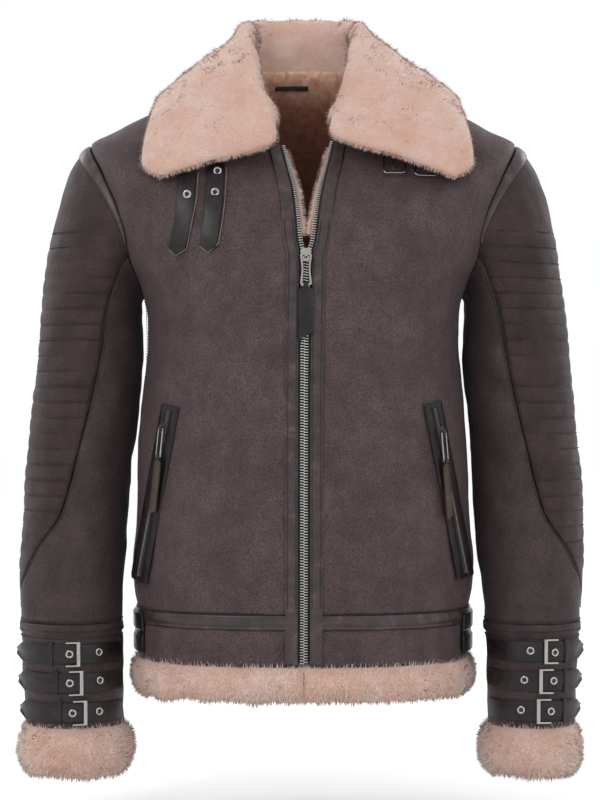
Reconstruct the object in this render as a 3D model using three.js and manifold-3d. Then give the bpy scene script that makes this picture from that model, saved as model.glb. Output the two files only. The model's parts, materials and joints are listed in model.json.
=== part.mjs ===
// A sheepskin flying jacket, filled out and zipped to the neck, in millimetres with +Z up.
// The front faces -Y, +X is the wearer's left, and the origin is between the shoulders,
// level with the back neck seam, where the wearer carries it.
import * as THREE from "three";
import { mergeVertices } from "three/addons/utils/BufferGeometryUtils.js";
import Module from "manifold-3d";

// Driving sizes
const WALL = 8; // leather outside, shorn wool inside
const SEAM = 0.15; // each piece stops this far short of its seam line
const LIFT = 0.35; // what lies on a panel clears it by this much
const HEM_Z = -646; // lower edge of the hem band, where the fur starts
const TRUNK_TOP = 396; // height of the armpit above the hem, along the trunk
const TIP = 571; // the same for the shoulder tip
const NECK = 746; // and for the neck seam
const SQUARE = 0.8; // below 1, a ring is squarer than an ellipse
const EDGE_TO_TEETH = 7; // from the leather edge of the opening to the zip's teeth
const CAP_Z = -265; // the first level ring of a sleeve, just under the armpit
const CUFF_TOP_Z = -606;
const CUFF_END_Z = -718;
const CUFF_FUR_Z = -777; // lower edge of the cuff fur
const HEM_FUR_Z = -690; // and of the hem fur

// Torso rings, by the length up the panel from the hem. A ring's height is given at the front,
// the side and the back. In the armhole rows, seamX is where the panel stops for the sleeve.
const TORSO = [
  { up: 0, frontZ: -646, sideZ: -646, backZ: -646, half: 184, front: 137, back: 135, seamX: 184 },
  { up: 40, frontZ: -606, sideZ: -606, backZ: -606, half: 184, front: 139, back: 136, seamX: 184 },
  { up: 53, frontZ: -593, sideZ: -593, backZ: -593, half: 184.5, front: 141, back: 137, seamX: 184.5 },
  { up: 76, frontZ: -570, sideZ: -570, backZ: -570, half: 188.5, front: 146, back: 140, seamX: 188.5 },
  { up: 101, frontZ: -545, sideZ: -545, backZ: -545, half: 190, front: 149, back: 142, seamX: 190 },
  { up: 146, frontZ: -500, sideZ: -500, backZ: -500, half: 186, front: 149, back: 142, seamX: 186 },
  { up: 206, frontZ: -440, sideZ: -440, backZ: -440, half: 184, front: 148, back: 139, seamX: 184 },
  { up: 272, frontZ: -374, sideZ: -374, backZ: -374, half: 179.5, front: 146, back: 137, seamX: 179.5 },
  { up: 346, frontZ: -300, sideZ: -300, backZ: -300, half: 174.5, front: 145, back: 137, seamX: 174.5 },
  { up: 384, frontZ: -262, sideZ: -262, backZ: -262, half: 175.5, front: 144, back: 138, seamX: 175.5 },
  { up: 396, frontZ: -250, sideZ: -250, backZ: -250, half: 178, front: 143, back: 138, seamX: 178 },
  { up: 416, frontZ: -238, sideZ: -231, backZ: -236, half: 185, front: 143, back: 139, seamX: 182 },
  { up: 440, frontZ: -224, sideZ: -206, backZ: -218, half: 200, front: 142, back: 140, seamX: 190.5 },
  { up: 470, frontZ: -208, sideZ: -176, backZ: -197, half: 209, front: 140, back: 140, seamX: 194 },
  { up: 502, frontZ: -194, sideZ: -144, backZ: -172, half: 218, front: 136, back: 138, seamX: 203 },
  { up: 538, frontZ: -181, sideZ: -109, backZ: -150, half: 228, front: 131, back: 134, seamX: 220 },
  { up: 571, frontZ: -168, sideZ: -80, backZ: -126, half: 237, front: 126, back: 128, seamX: 237 },
  { up: 607, frontZ: -150, sideZ: -62, backZ: -100, half: 205, front: 115, back: 118, seamX: 205 },
  { up: 648, frontZ: -132, sideZ: -43, backZ: -72, half: 168, front: 103, back: 107, seamX: 168 },
  { up: 690, frontZ: -114, sideZ: -24, backZ: -42, half: 130, front: 89, back: 95, seamX: 130 },
  { up: 722, frontZ: -98, sideZ: -9, backZ: -16, half: 101, front: 74, back: 85, seamX: 101 },
  { up: 746, frontZ: -82, sideZ: 0, backZ: 4, half: 83, front: 62, back: 78, seamX: 83 },
];

// The zip's course: the X midway between its two rows of teeth and each row's distance from it.
const ZIP = [
  { z: -700, middle: 0.6, teeth: 0.3 },
  { z: -363, middle: 1, teeth: 0.3 },
  { z: -212, middle: 2.9, teeth: 0.8 },
  { z: -193, middle: 3.5, teeth: 4.6 },
  { z: -166, middle: 4, teeth: 7.5 },
  { z: -138, middle: 4.6, teeth: 11.3 },
  { z: -109, middle: 4.7, teeth: 18.9 },
  { z: -82, middle: 4.7, teeth: 26.8 },
];

// Where a sleeve's path leaves the armhole, by the angle round the sleeve from its outer edge.
const ARMHOLE = [
  { angle: 0, up: 571 },
  { angle: 55, up: 538 },
  { angle: 82, up: 502 },
  { angle: 101, up: 470 },
  { angle: 121, up: 440 },
  { angle: 141, up: 416 },
  { angle: 180, up: 396 },
];

// Level rings of the sleeves: the body side and the outer side in X, the middle in Y, half the depth.
const SLEEVE = {
  r: [
    { z: -265, inner: 178.8, outer: 291, midY: 0, deep: 76 },
    { z: -300, inner: 178.8, outer: 295, midY: 0, deep: 76 },
    { z: -368, inner: 182.8, outer: 301, midY: -3, deep: 74 },
    { z: -430, inner: 189.3, outer: 306.7, midY: -8, deep: 71 },
    { z: -497, inner: 195, outer: 311, midY: -14, deep: 67 },
    { z: -560, inner: 199, outer: 313.2, midY: -20, deep: 63 },
    { z: -609, inner: 200.5, outer: 312, midY: -25, deep: 60 },
    { z: -660, inner: 199, outer: 309, midY: -31, deep: 56 },
    { z: -733, inner: 197, outer: 304, midY: -38, deep: 52 },
  ],
  l: [
    { z: -265, inner: 178.8, outer: 291, midY: 0, deep: 76 },
    { z: -300, inner: 178.8, outer: 296, midY: 0, deep: 76 },
    { z: -368, inner: 182.8, outer: 302, midY: -3, deep: 74 },
    { z: -430, inner: 187, outer: 308, midY: -8, deep: 71 },
    { z: -497, inner: 190.5, outer: 311.5, midY: -14, deep: 67 },
    { z: -560, inner: 196.5, outer: 309.5, midY: -20, deep: 63 },
    { z: -609, inner: 201.5, outer: 306, midY: -25, deep: 60 },
    { z: -660, inner: 203.3, outer: 302.5, midY: -31, deep: 56 },
    { z: -733, inner: 204, outer: 298, midY: -38, deep: 52 },
  ],
};

// The seam between ribbed and smooth sleeve leather: its angle from the outer edge, by height.
const SLEEVE_SEAM = [
  { z: -578, angle: 1.5 },
  { z: -565, angle: 20 },
  { z: -525, angle: 52 },
  { z: -486, angle: 79 },
  { z: -430, angle: 91 },
  { z: -341, angle: 104 },
  { z: -212, angle: 120 },
];

// The collar's wool face from the neck seam over the crest to its free edge, from the middle
// of the back to the front end. turn is the way its fall faces: 180 back, 90 side, 0 front.
const COLLAR = [
  { at: 0, neckX: 0, neckY: 74, neckZ: 5.9, foldX: 0, foldY: 94, foldZ: 79,
    edgeX: 0, edgeY: 108, edgeZ: -34, turn: 180 },
  { at: 1, neckX: 42, neckY: 66, neckZ: 4.8, foldX: 42, foldY: 83, foldZ: 77,
    edgeX: 92, edgeY: 95, edgeZ: -40, turn: 150 },
  { at: 2, neckX: 70, neckY: 38, neckZ: 0, foldX: 62, foldY: 48, foldZ: 70,
    edgeX: 152, edgeY: 58, edgeZ: -28, turn: 115 },
  { at: 3, neckX: 78, neckY: -4, neckZ: -1.2, foldX: 66, foldY: 2, foldZ: 58,
    edgeX: 172, edgeY: 0, edgeZ: -26, turn: 90 },
  { at: 4, neckX: 72, neckY: -32, neckZ: -18.4, foldX: 58, foldY: -40, foldZ: 26,
    edgeX: 180, edgeY: -76, edgeZ: -62, turn: 62 },
  { at: 5, neckX: 58, neckY: -50, neckZ: -46, foldX: 44, foldY: -70, foldZ: -22,
    edgeX: 183, edgeY: -106, edgeZ: -104, turn: 35 },
  { at: 6, neckX: 38, neckY: -62, neckZ: -73.4, foldX: 26, foldY: -86, foldZ: -52,
    edgeX: 164, edgeY: -118, edgeZ: -124, turn: 15 },
];
const COLLAR_WALL = 10;

const rad = THREE.MathUtils.degToRad;

// A smooth curve through one named column of a table, with no overshoot between rows.
function read(table, key, at, column) {
  const rows = table[0][key] < table[table.length - 1][key] ? table : [...table].reverse();
  const last = rows.length - 1;
  if (at <= rows[0][key]) return rows[0][column];
  if (at >= rows[last][key]) return rows[last][column];
  let i = 0;
  while (rows[i + 1][key] < at) i += 1;
  const slope = (k) =>
    (rows[k + 1][column] - rows[k][column]) / (rows[k + 1][key] - rows[k][key]);
  const tangent = (k) => {
    if (k === 0) return slope(0);
    if (k === last) return slope(last - 1);
    const before = slope(k - 1);
    const after = slope(k);
    return before * after <= 0 ? 0 : (2 * before * after) / (before + after);
  };
  const span = rows[i + 1][key] - rows[i][key];
  const t = (at - rows[i][key]) / span;
  const t2 = t * t;
  const t3 = t2 * t;
  return (
    (2 * t3 - 3 * t2 + 1) * rows[i][column] +
    (t3 - 2 * t2 + t) * span * tangent(i) +
    (3 * t2 - 2 * t3) * rows[i + 1][column] +
    (t3 - t2) * span * tangent(i + 1)
  );
}

function steps(from, to, count) {
  return Array.from({ length: count + 1 }, (_, i) => from + ((to - from) * i) / count);
}

const power = (value, exponent) => Math.sign(value) * Math.abs(value) ** exponent;

// The torso's outer surface: angle 0 is the front middle, 90 the wearer's left, 180 the back.
function torso(angle, up) {
  const column = (name) => read(TORSO, "up", up, name);
  const s = Math.sin(rad(angle));
  const c = Math.cos(rad(angle));
  const middleZ = c > 0 ? column("frontZ") : column("backZ");
  const depth = c > 0 ? column("front") : column("back");
  return new THREE.Vector3(
    column("half") * power(s, SQUARE),
    -depth * power(c, SQUARE),
    middleZ * c * c + column("sideZ") * s * s,
  );
}

// The angle at which a torso ring reaches a given X.
function angleAt(x, up) {
  const share = Math.min(Math.abs(x) / read(TORSO, "up", up, "half"), 1);
  return Math.sign(x) * THREE.MathUtils.radToDeg(Math.asin(share ** (1 / SQUARE)));
}

// The angle of the side seam, or of the armhole seam where there is one.
function seamAngle(up) {
  if (up <= TRUNK_TOP || up >= TIP) return 90;
  return angleAt(read(TORSO, "up", up, "seamX"), up);
}

// The point of the front, or of the back, that lies at a given X and Z.
function onTorso(x, z, behind = false) {
  const place = (up) => torso(behind ? 180 - angleAt(x, up) : angleAt(x, up), up);
  let low = 0;
  let high = NECK;
  for (let i = 0; i < 26; i += 1) {
    const middle = (low + high) / 2;
    if (place(middle).z < z) low = middle;
    else high = middle;
  }
  return place((low + high) / 2);
}

// A sleeve's outer surface: angle 0 is its outer edge, 90 its front. Its height runs from 1 at
// the armhole to 0 at the cap's last ring, and is that ring's Z or less below it.
function sleeve(side, angle, level) {
  const turn = Math.atan2(Math.sin(rad(angle)), Math.cos(rad(angle)));
  const z = level > 0 ? CAP_Z : level;
  const column = (name) => read(SLEEVE[side], "z", z, name);
  const half = (column("outer") - column("inner")) / 2;
  const ring = new THREE.Vector3(
    column("inner") + half * (1 + Math.cos(turn)),
    column("midY") - column("deep") * Math.sin(turn),
    z,
  );
  if (level > 0) {
    const away = Math.abs(THREE.MathUtils.radToDeg(turn));
    const up = read(ARMHOLE, "angle", away, "up");
    const seam = seamAngle(up);
    const start = torso(turn > 0 ? seam : 180 - seam, up);
    const outer = (1 + Math.cos(turn)) / 2;
    const leave = new THREE.Vector3(10 + 92 * outer, 0, -15 - 30 * outer);
    const arrive = new THREE.Vector3(10 * outer, 0, -15 - 165 * outer);
    const t = 1 - level;
    const t2 = t * t;
    const t3 = t2 * t;
    ring
      .multiplyScalar(3 * t2 - 2 * t3)
      .addScaledVector(start, 2 * t3 - 3 * t2 + 1)
      .addScaledVector(leave, t3 - 2 * t2 + t)
      .addScaledVector(arrive, t3 - t2);
  }
  if (side === "r") ring.x = -ring.x;
  return ring;
}

function sleeveSeam(level) {
  return read(SLEEVE_SEAM, "z", level > 0 ? CAP_Z * (1 - level) - 150 * level : level, "angle");
}

// The collar's wool face: at runs from -6 to 6, round the neck, and across from 0 to 1.
function collar(at, across) {
  const column = (name) => read(COLLAR, "at", Math.abs(at), name);
  const turn = rad(column("turn"));
  const out = new THREE.Vector3(Math.sin(turn), -Math.cos(turn), 0);
  const neck = new THREE.Vector3(column("neckX"), column("neckY"), column("neckZ"));
  const crest = new THREE.Vector3(column("foldX"), column("foldY"), column("foldZ"));
  const edge = new THREE.Vector3(column("edgeX"), column("edgeY"), column("edgeZ"));
  const stand = Math.min(neck.distanceTo(crest) * 0.3, 16);
  const points = [
    neck,
    crest.clone().addScaledVector(out, -13).add(new THREE.Vector3(0, 0, -stand)),
    crest,
    crest.clone().addScaledVector(out, 15).add(new THREE.Vector3(0, 0, -14)),
    crest.clone().lerp(edge, 0.62).addScaledVector(out, 6),
    edge,
  ];
  const share = THREE.MathUtils.clamp(across, 0, 1);
  const p = new THREE.CatmullRomCurve3(points, false, "centripetal").getPoint(share);
  if (at < 0) p.x = -p.x;
  return p;
}

// The outward normal of a surface, by small steps. hand is -1 on a mirrored surface.
function normalOf(surface, u, v, stepU, stepV, hand) {
  const along = surface(u + stepU, v).sub(surface(u - stepU, v));
  const upward = surface(u, v + stepV).sub(surface(u, v - stepV));
  return along.cross(upward).normalize().multiplyScalar(hand);
}

// One closed body from a grid of points on its inner face and one on its outer face.
function body(inner, outer, around) {
  const rows = outer.length;
  const width = outer[0].length;
  const positions = [];
  [...outer, ...inner].forEach((row) => row.forEach((p) => positions.push(p.x, p.y, p.z)));
  const at = (layer, j, i) => (layer * rows + j) * width + (i % width);
  const index = [];
  const quad = (a, b, c, d) => index.push(a, b, c, a, c, d);
  const across = around ? width : width - 1;
  for (let j = 0; j < rows - 1; j += 1) {
    for (let i = 0; i < across; i += 1) {
      quad(at(0, j, i), at(0, j, i + 1), at(0, j + 1, i + 1), at(0, j + 1, i));
      quad(at(1, j, i), at(1, j + 1, i), at(1, j + 1, i + 1), at(1, j, i + 1));
    }
    if (!around) {
      const end = width - 1;
      quad(at(1, j, 0), at(0, j, 0), at(0, j + 1, 0), at(1, j + 1, 0));
      quad(at(0, j, end), at(1, j, end), at(1, j + 1, end), at(0, j + 1, end));
    }
  }
  const top = rows - 1;
  for (let i = 0; i < across; i += 1) {
    quad(at(1, 0, i), at(1, 0, i + 1), at(0, 0, i + 1), at(0, 0, i));
    quad(at(0, top, i), at(0, top, i + 1), at(1, top, i + 1), at(1, top, i));
  }
  const geometry = new THREE.BufferGeometry();
  geometry.setAttribute("position", new THREE.Float32BufferAttribute(positions, 3));
  geometry.setIndex(facingOut(positions, index));
  return geometry;
}

// Turns every triangle round when the body's volume comes out negative.
function facingOut(positions, index) {
  const point = (k) => new THREE.Vector3().fromArray(positions, 3 * k);
  let volume = 0;
  for (let i = 0; i < index.length; i += 3) {
    volume += point(index[i]).dot(point(index[i + 1]).cross(point(index[i + 2])));
  }
  if (volume > 0) return index;
  const turned = [];
  for (let i = 0; i < index.length; i += 3) turned.push(index[i], index[i + 2], index[i + 1]);
  return turned;
}

// A body between two heights over a surface, on a grid of us across and vs along it.
// limits(v), where given, stretches us from 0..1 to the ends of that row.
function slab(surface, us, vs, options) {
  const { low, high, limits, around = false, hand = 1, inset = SEAM } = options;
  const { stepU = 0.2, stepV = 0.5 } = options;
  const value = (height, i, j) => (typeof height === "function" ? height(i, j) : height);
  const inner = [];
  const outer = [];
  vs.forEach((v, j) => {
    const [from, to] = limits ? limits(v) : [0, 1];
    const params = us.map((u) => (limits ? from + (to - from) * u : u));
    const points = params.map((u) => surface(u, v));
    const normals = params.map((u) => normalOf(surface, u, v, stepU, stepV, hand));
    inner.push(points.map((p, i) => p.clone().addScaledVector(normals[i], value(low, i, j))));
    outer.push(points.map((p, i) => p.clone().addScaledVector(normals[i], value(high, i, j))));
  });
  for (const grid of [inner, outer]) {
    pullIn(grid[0], grid[1], inset);
    pullIn(grid[grid.length - 1], grid[grid.length - 2], inset);
    if (!around) {
      grid.forEach((row) => {
        pullIn([row[0]], [row[1]], inset);
        pullIn([row[row.length - 1]], [row[row.length - 2]], inset);
      });
    }
  }
  return body(inner, outer, around);
}

function pullIn(edge, next, by) {
  edge.forEach((p, i) => {
    const way = next[i].clone().sub(p);
    if (way.length() > 4 * by) p.addScaledVector(way.normalize(), by);
  });
}

const jacket = new THREE.Group();

const LEATHER = { color: 0x453a38, roughness: 0.62, metalness: 0 };
const SMOOTH = { color: 0x3a3534, roughness: 0.5, metalness: 0 };
const FLEECE = { color: 0xd6b8a6, roughness: 1, metalness: 0 };
const STEEL = { color: 0xb9bbbd, roughness: 0.28, metalness: 1 };
const TAPE = { color: 0x2a2422, roughness: 0.9, metalness: 0 };

function add(name, geometry, finish) {
  const mesh = new THREE.Mesh(geometry, new THREE.MeshStandardMaterial(finish));
  mesh.name = name;
  jacket.add(mesh);
  return mesh;
}

// Wearer's right and left, with the sign of X.
const SIDES = [["r", -1], ["l", 1]];

// Fronts and back. The fronts stop at the leather edges of the opening.
function zipAngle(sign, up, away) {
  const z = read(TORSO, "up", up, "frontZ");
  const x = read(ZIP, "z", z, "middle") + sign * (read(ZIP, "z", z, "teeth") + away);
  return angleAt(x, up);
}

function frontLimits(sign) {
  return (up) => [zipAngle(sign, up, EDGE_TO_TEETH), sign * seamAngle(up)];
}

const backLimits = (up) => [180 - seamAngle(up), 180 + seamAngle(up)];

// Lengths up the trunk at which its panels have a row of points.
const PANEL_ROWS = [
  53, 76, 101, 146, 206, 272, 346, 396, 416, 440, 470, 502, 538, 571, 607, 648, 690, 722, 746,
];
const TRUNK_BANDS = [
  { name: "hem_band", from: 0, to: 40, rows: 2, high: 0 },
  { name: "waist_welt", from: 40, to: 53, rows: 1, high: 1.2 },
];

function makeTrunk() {
  const wall = { low: -WALL, high: 0 };
  const frontSteps = steps(0, 1, 8);
  const backSteps = steps(0, 1, 14);
  for (const [side, sign] of SIDES) {
    const limits = frontLimits(sign);
    add("front_" + side, slab(torso, frontSteps, PANEL_ROWS, { ...wall, limits }), LEATHER);
  }
  add("back", slab(torso, backSteps, PANEL_ROWS, { ...wall, limits: backLimits }), LEATHER);
  for (const band of TRUNK_BANDS) {
    const rows = steps(band.from, band.to, band.rows);
    const strip = { low: -WALL, high: band.high };
    for (const [side, sign] of SIDES) {
      const front = slab(torso, frontSteps, rows, { ...strip, limits: frontLimits(sign) });
      add(band.name + "_front_" + side, front, LEATHER);
    }
    const behind = slab(torso, backSteps, rows, { ...strip, limits: backLimits });
    add(band.name + "_back", behind, LEATHER);
  }
}

makeTrunk();

// Sleeves. The upper panel is raised in soft ribs between its stitched lines. The left one is in
// two lengths, which meet at the first of those lines.
const RIB_PITCH = 17;
const RIB_HEIGHT = 1.8;
const RIB_FIRST_Z = -280;
const RIB_COUNT = 15;
const SLEEVE_SEAM_GAP = 0.5;
const SEAM_TURN = 0.5; // clears the slanting seam, whose two sides have their own rows

function makeSleeves() {
  const capLevels = [1, 0.88, 0.72, 0.54, 0.34, 0.14];
  const tailLevels = [-548, -563, -578];
  const ribLevels = (perRib) =>
    steps(RIB_FIRST_Z, RIB_FIRST_Z - RIB_PITCH * RIB_COUNT, perRib * RIB_COUNT);
  const topLevels = [...capLevels, CAP_Z, ...ribLevels(2), ...tailLevels];
  const underLevels = [...capLevels, CAP_Z, ...ribLevels(1), ...tailLevels, CUFF_TOP_Z];
  const firstRib = capLevels.length + 1;
  const rise = (i, j) => {
    const k = j - firstRib;
    return k > 0 && k < 2 * RIB_COUNT && k % 2 === 1 ? RIB_HEIGHT : 0;
  };
  for (const [side, sign] of SIDES) {
    const surface = (angle, level) => sleeve(side, angle, level);
    const shape = { low: -WALL, hand: -sign, stepV: 0.02, inset: SLEEVE_SEAM_GAP };
    const upper = (name, from, to) => {
      add(name, slab(surface, steps(0, 1, 8), topLevels.slice(from, to), {
        ...shape,
        high: (i, j) => rise(i, j + from),
        limits: (level) => [SEAM_TURN - sleeveSeam(level), sleeveSeam(level) - SEAM_TURN],
      }), LEATHER);
    };
    if (side === "r") {
      upper("sleeve_top_r", 0, topLevels.length);
    } else {
      upper("sleeve_cap_l", 0, firstRib + 1);
      upper("sleeve_top_l", firstRib, topLevels.length);
    }
    add("sleeve_under_" + side, slab(surface, steps(0, 1, 8), underLevels, {
      ...shape,
      high: 0,
      limits: (level) => [sleeveSeam(level) + SEAM_TURN, 360 - SEAM_TURN - sleeveSeam(level)],
    }), SMOOTH);
  }
}

makeSleeves();

function makeCollar() {
  const around = steps(-6, 6, 20);
  const across = [0, 0.12, 0.22, 0.3, 0.37, 0.43, 0.49, 0.56, 0.7, 0.85, 1];
  const wall = { low: -COLLAR_WALL, high: 0, stepU: 0.02, stepV: 0.004 };
  add("collar", slab(collar, around, across, wall), FLEECE);
}

makeCollar();

// Bands and fur of the cuffs, and the fur of the hem. A fur roll stands proud of its band by
// a height that changes with the share of the way down it.
const CUFF_ANGLES = steps(0, 340, 17);
const FUR_PROFILE = [
  { down: 0, rise: 4 },
  { down: 0.16, rise: 11 },
  { down: 0.42, rise: 14.5 },
  { down: 0.68, rise: 13.5 },
  { down: 0.9, rise: 8 },
  { down: 1, rise: 2 },
];
const FUR_INSIDE = -10; // the wool fills the inside of the edge a little
const HEM_FUR_SHARE = 0.76; // the hem fur is shorter than the cuffs'
const HEM_FUR_SPLIT = { middle: 0.6, half: 0.8 }; // X of the zip, and of the fur's ends beside it
const CUFF_WELT_HEIGHT = 1.4;

function makeCuffs() {
  const welt = [CUFF_TOP_Z - LIFT, CUFF_TOP_Z - 11];
  const rows = [...welt, CUFF_TOP_Z - 12.5, -650, -684, CUFF_END_Z];
  const furHeight = CUFF_END_Z - CUFF_FUR_Z;
  const furRows = FUR_PROFILE.map((row) => CUFF_END_Z - 2 * SEAM - row.down * furHeight);
  for (const [side, sign] of SIDES) {
    const surface = (angle, level) => sleeve(side, angle, level);
    const ring = { around: true, hand: -sign };
    add("cuff_band_" + side, slab(surface, CUFF_ANGLES, rows, {
      ...ring,
      low: -WALL,
      high: (i, j) => (j < welt.length ? CUFF_WELT_HEIGHT : 0),
    }), SMOOTH);
    add("cuff_fur_" + side, slab(surface, CUFF_ANGLES, furRows, {
      ...ring,
      low: FUR_INSIDE,
      high: (i, j) => FUR_PROFILE[j].rise,
    }), FLEECE);
  }
}

makeCuffs();

function makeHemFur() {
  const surface = (angle, z) => torso(angle, 0).setZ(z);
  const rows = FUR_PROFILE.map((row) => HEM_Z - row.down * (HEM_Z - HEM_FUR_Z));
  const { middle, half } = HEM_FUR_SPLIT;
  add("hem_fur", slab(surface, steps(0, 1, 28), rows, {
    low: FUR_INSIDE,
    high: (i, j) => FUR_PROFILE[j].rise * HEM_FUR_SHARE,
    limits: () => [angleAt(middle + half, 0), 360 + angleAt(middle - half, 0)],
  }), FLEECE);
}

makeHemFur();

// Smooth strips on the armholes, on the sleeve side of the seam, widest at the shoulder.
const STRIP_REACH = 108; // angle round the sleeve to each end
const STRIP_WIDTH = 0.125; // share of the sleeve cap that it covers at the shoulder
const STRIP_TAPER = 0.8;
const STRIP_START = 0.996;

function makeArmholeStrips() {
  const angles = steps(-1, 1, 12);
  for (const [side, sign] of SIDES) {
    const surface = (share, down) => {
      const wide = STRIP_WIDTH * (1 - STRIP_TAPER * Math.abs(share));
      return sleeve(side, share * STRIP_REACH, STRIP_START - wide * down);
    };
    add("shoulder_strip_" + side, slab(surface, angles, [0, 1], {
      low: 4 * LIFT,
      high: 4 * LIFT + 1.4,
      hand: sign,
      stepU: 0.01,
      stepV: 0.05,
    }), SMOOTH);
  }
}

makeArmholeStrips();

// Zip: leather facings on the fronts, and two tapes with their raised rows of teeth.
const FACING_WIDTH = 12.5;
const FACING_WALL = 1.6;
const TEETH_HEIGHT = 0.4; // over the leather
const TAPE_DEPTH = { face: -1.8, back: -4 };
const ZIP_ROWS = [2, 40, ...PANEL_ROWS.slice(0, -1), 738];

function makeZip() {
  const overWelt = (height) => (i, j) => {
    const up = ZIP_ROWS[j];
    return height + (up < 60 ? 1.3 : 0) + (up > TIP ? 1 : 0);
  };
  for (const [side, sign] of SIDES) {
    add("zip_facing_" + side, slab(torso, [0, 1], ZIP_ROWS, {
      low: overWelt(LIFT),
      high: overWelt(LIFT + FACING_WALL),
      limits: (up) => [
        zipAngle(sign, up, EDGE_TO_TEETH - 0.6),
        zipAngle(sign, up, EDGE_TO_TEETH + FACING_WIDTH),
      ],
    }), SMOOTH);
    add("zip_tape_" + side, slab(torso, [0, 0.38, 1], ZIP_ROWS, {
      low: TAPE_DEPTH.back,
      high: (i) => (i < 2 ? TEETH_HEIGHT : TAPE_DEPTH.face),
      limits: (up) => [zipAngle(sign, up, 0), zipAngle(sign, up, EDGE_TO_TEETH - 0.3)],
    }), TAPE);
  }
}

makeZip();

// Metalwork. Each piece is drawn flat, with Y up the jacket and Z away from it, then set on.
const wasm = await Module();
wasm.setup();

function solidOf(geometry) {
  const bare = geometry.index ? geometry.toNonIndexed() : geometry.clone();
  bare.deleteAttribute("normal");
  bare.deleteAttribute("uv");
  const merged = mergeVertices(bare, 1e-4);
  return new wasm.Manifold(new wasm.Mesh({
    numProp: 3,
    vertProperties: merged.attributes.position.array,
    triVerts: new Uint32Array(merged.index.array),
  }));
}

function joined(...geometries) {
  const whole = geometries.map(solidOf).reduce((sum, next) => sum.add(next)).getMesh();
  const geometry = new THREE.BufferGeometry();
  geometry.setAttribute("position", new THREE.Float32BufferAttribute(whole.vertProperties, 3));
  geometry.setIndex([...whole.triVerts]);
  return geometry;
}

function roundedPath(path, x, y, width, height, radius) {
  const [left, right, bottom, top] = [x - width / 2, x + width / 2, y - height / 2, y + height / 2];
  path.moveTo(left + radius, bottom);
  path.lineTo(right - radius, bottom);
  path.quadraticCurveTo(right, bottom, right, bottom + radius);
  path.lineTo(right, top - radius);
  path.quadraticCurveTo(right, top, right - radius, top);
  path.lineTo(left + radius, top);
  path.quadraticCurveTo(left, top, left, top - radius);
  path.lineTo(left, bottom + radius);
  path.quadraticCurveTo(left, bottom, left + radius, bottom);
  return path;
}

// A flat plate of a shape, between two heights.
function plate(shape, from, to) {
  const options = { depth: to - from, bevelEnabled: false, curveSegments: 1 };
  return new THREE.ExtrudeGeometry(shape, options).translate(0, 0, from);
}

// A shape in Y and Z, as thick as width in X.
function crosswise(shape, width, segments = 3) {
  const options = { depth: width, bevelEnabled: false, curveSegments: segments };
  const geometry = new THREE.ExtrudeGeometry(shape, options).translate(0, 0, -width / 2);
  return geometry.applyMatrix4(new THREE.Matrix4().makeBasis(
    new THREE.Vector3(0, 1, 0),
    new THREE.Vector3(0, 0, 1),
    new THREE.Vector3(1, 0, 0),
  ));
}

// The matrix that sets a flat piece at a point, with its Y along up and its Z away from the jacket.
function setOn(point, up, away) {
  const y = up.clone().normalize();
  const x = y.clone().cross(away).normalize();
  const z = x.clone().cross(y);
  return new THREE.Matrix4().makeBasis(x, y, z).setPosition(point);
}

const BAR = 1.8; // thickness of the pull wires
const BAIL_Z = 2.6; // height of the pull's hinge over the slider's plate
const BAIL_WIDTH = 2.4;
const SLIDER_PLATE = 2.6;
const HINGE_BORE = 1.7; // radius of an eye, in which a square wire turns freely

// A ring of a rim's radius round the bore of a hinge, at a distance along the shape's X.
function ringShape(rim, at = 0) {
  const shape = new THREE.Shape();
  shape.absarc(at, 0, rim, 0, Math.PI * 2, false);
  const hole = new THREE.Path();
  hole.absarc(at, 0, HINGE_BORE, 0, Math.PI * 2, true);
  shape.holes.push(hole);
  return shape;
}

function sliderPlate(width, height) {
  const outline = new THREE.Shape();
  outline.moveTo(-width * 0.32, -height / 2);
  outline.lineTo(width * 0.32, -height / 2);
  outline.lineTo(width / 2, height * 0.28);
  outline.lineTo(width * 0.36, height / 2);
  outline.lineTo(-width * 0.36, height / 2);
  outline.lineTo(-width / 2, height * 0.28);
  outline.closePath();
  const bail = new THREE.Shape();
  bail.moveTo(-4.5, -0.2);
  bail.lineTo(4.5, -0.2);
  bail.lineTo(3, BAIL_Z + 2.6);
  bail.lineTo(-3, BAIL_Z + 2.6);
  bail.closePath();
  const eye = new THREE.Path();
  eye.absarc(0, BAIL_Z, HINGE_BORE, 0, Math.PI * 2, true);
  bail.holes.push(eye);
  return joined(plate(outline, -SLIDER_PLATE, 0), crosswise(bail, BAIL_WIDTH, 8));
}

// A wire loop whose top bar turns in the bail, hanging from Y = 0.
function pullLoop(width, length) {
  const shape = roundedPath(new THREE.Shape(), 0, BAR / 2 - length / 2, width, length, 1.6);
  const hole = [width - 2 * BAR, length - 2 * BAR];
  shape.holes.push(roundedPath(new THREE.Path(), 0, BAR / 2 - length / 2, ...hole, 0.7));
  return plate(shape, -BAR / 2, BAR / 2);
}

// A leather tab with an eye round the loop's lower bar and a slanting cut end.
function pullTab(loopLength, eyeWidth, width, length) {
  const barY = BAR - loopLength;
  const top = barY - 2;
  const tongue = new THREE.Shape();
  tongue.moveTo(-eyeWidth / 2, top);
  tongue.lineTo(-width / 2, top - 4);
  tongue.lineTo(-width / 2, top - length);
  tongue.lineTo(width / 2, top - length + width * 0.45);
  tongue.lineTo(width / 2, top - 4);
  tongue.lineTo(eyeWidth / 2, top);
  tongue.closePath();
  return joined(crosswise(ringShape(3, barY), eyeWidth, 8), plate(tongue, -1.1, 1.1));
}

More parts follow.
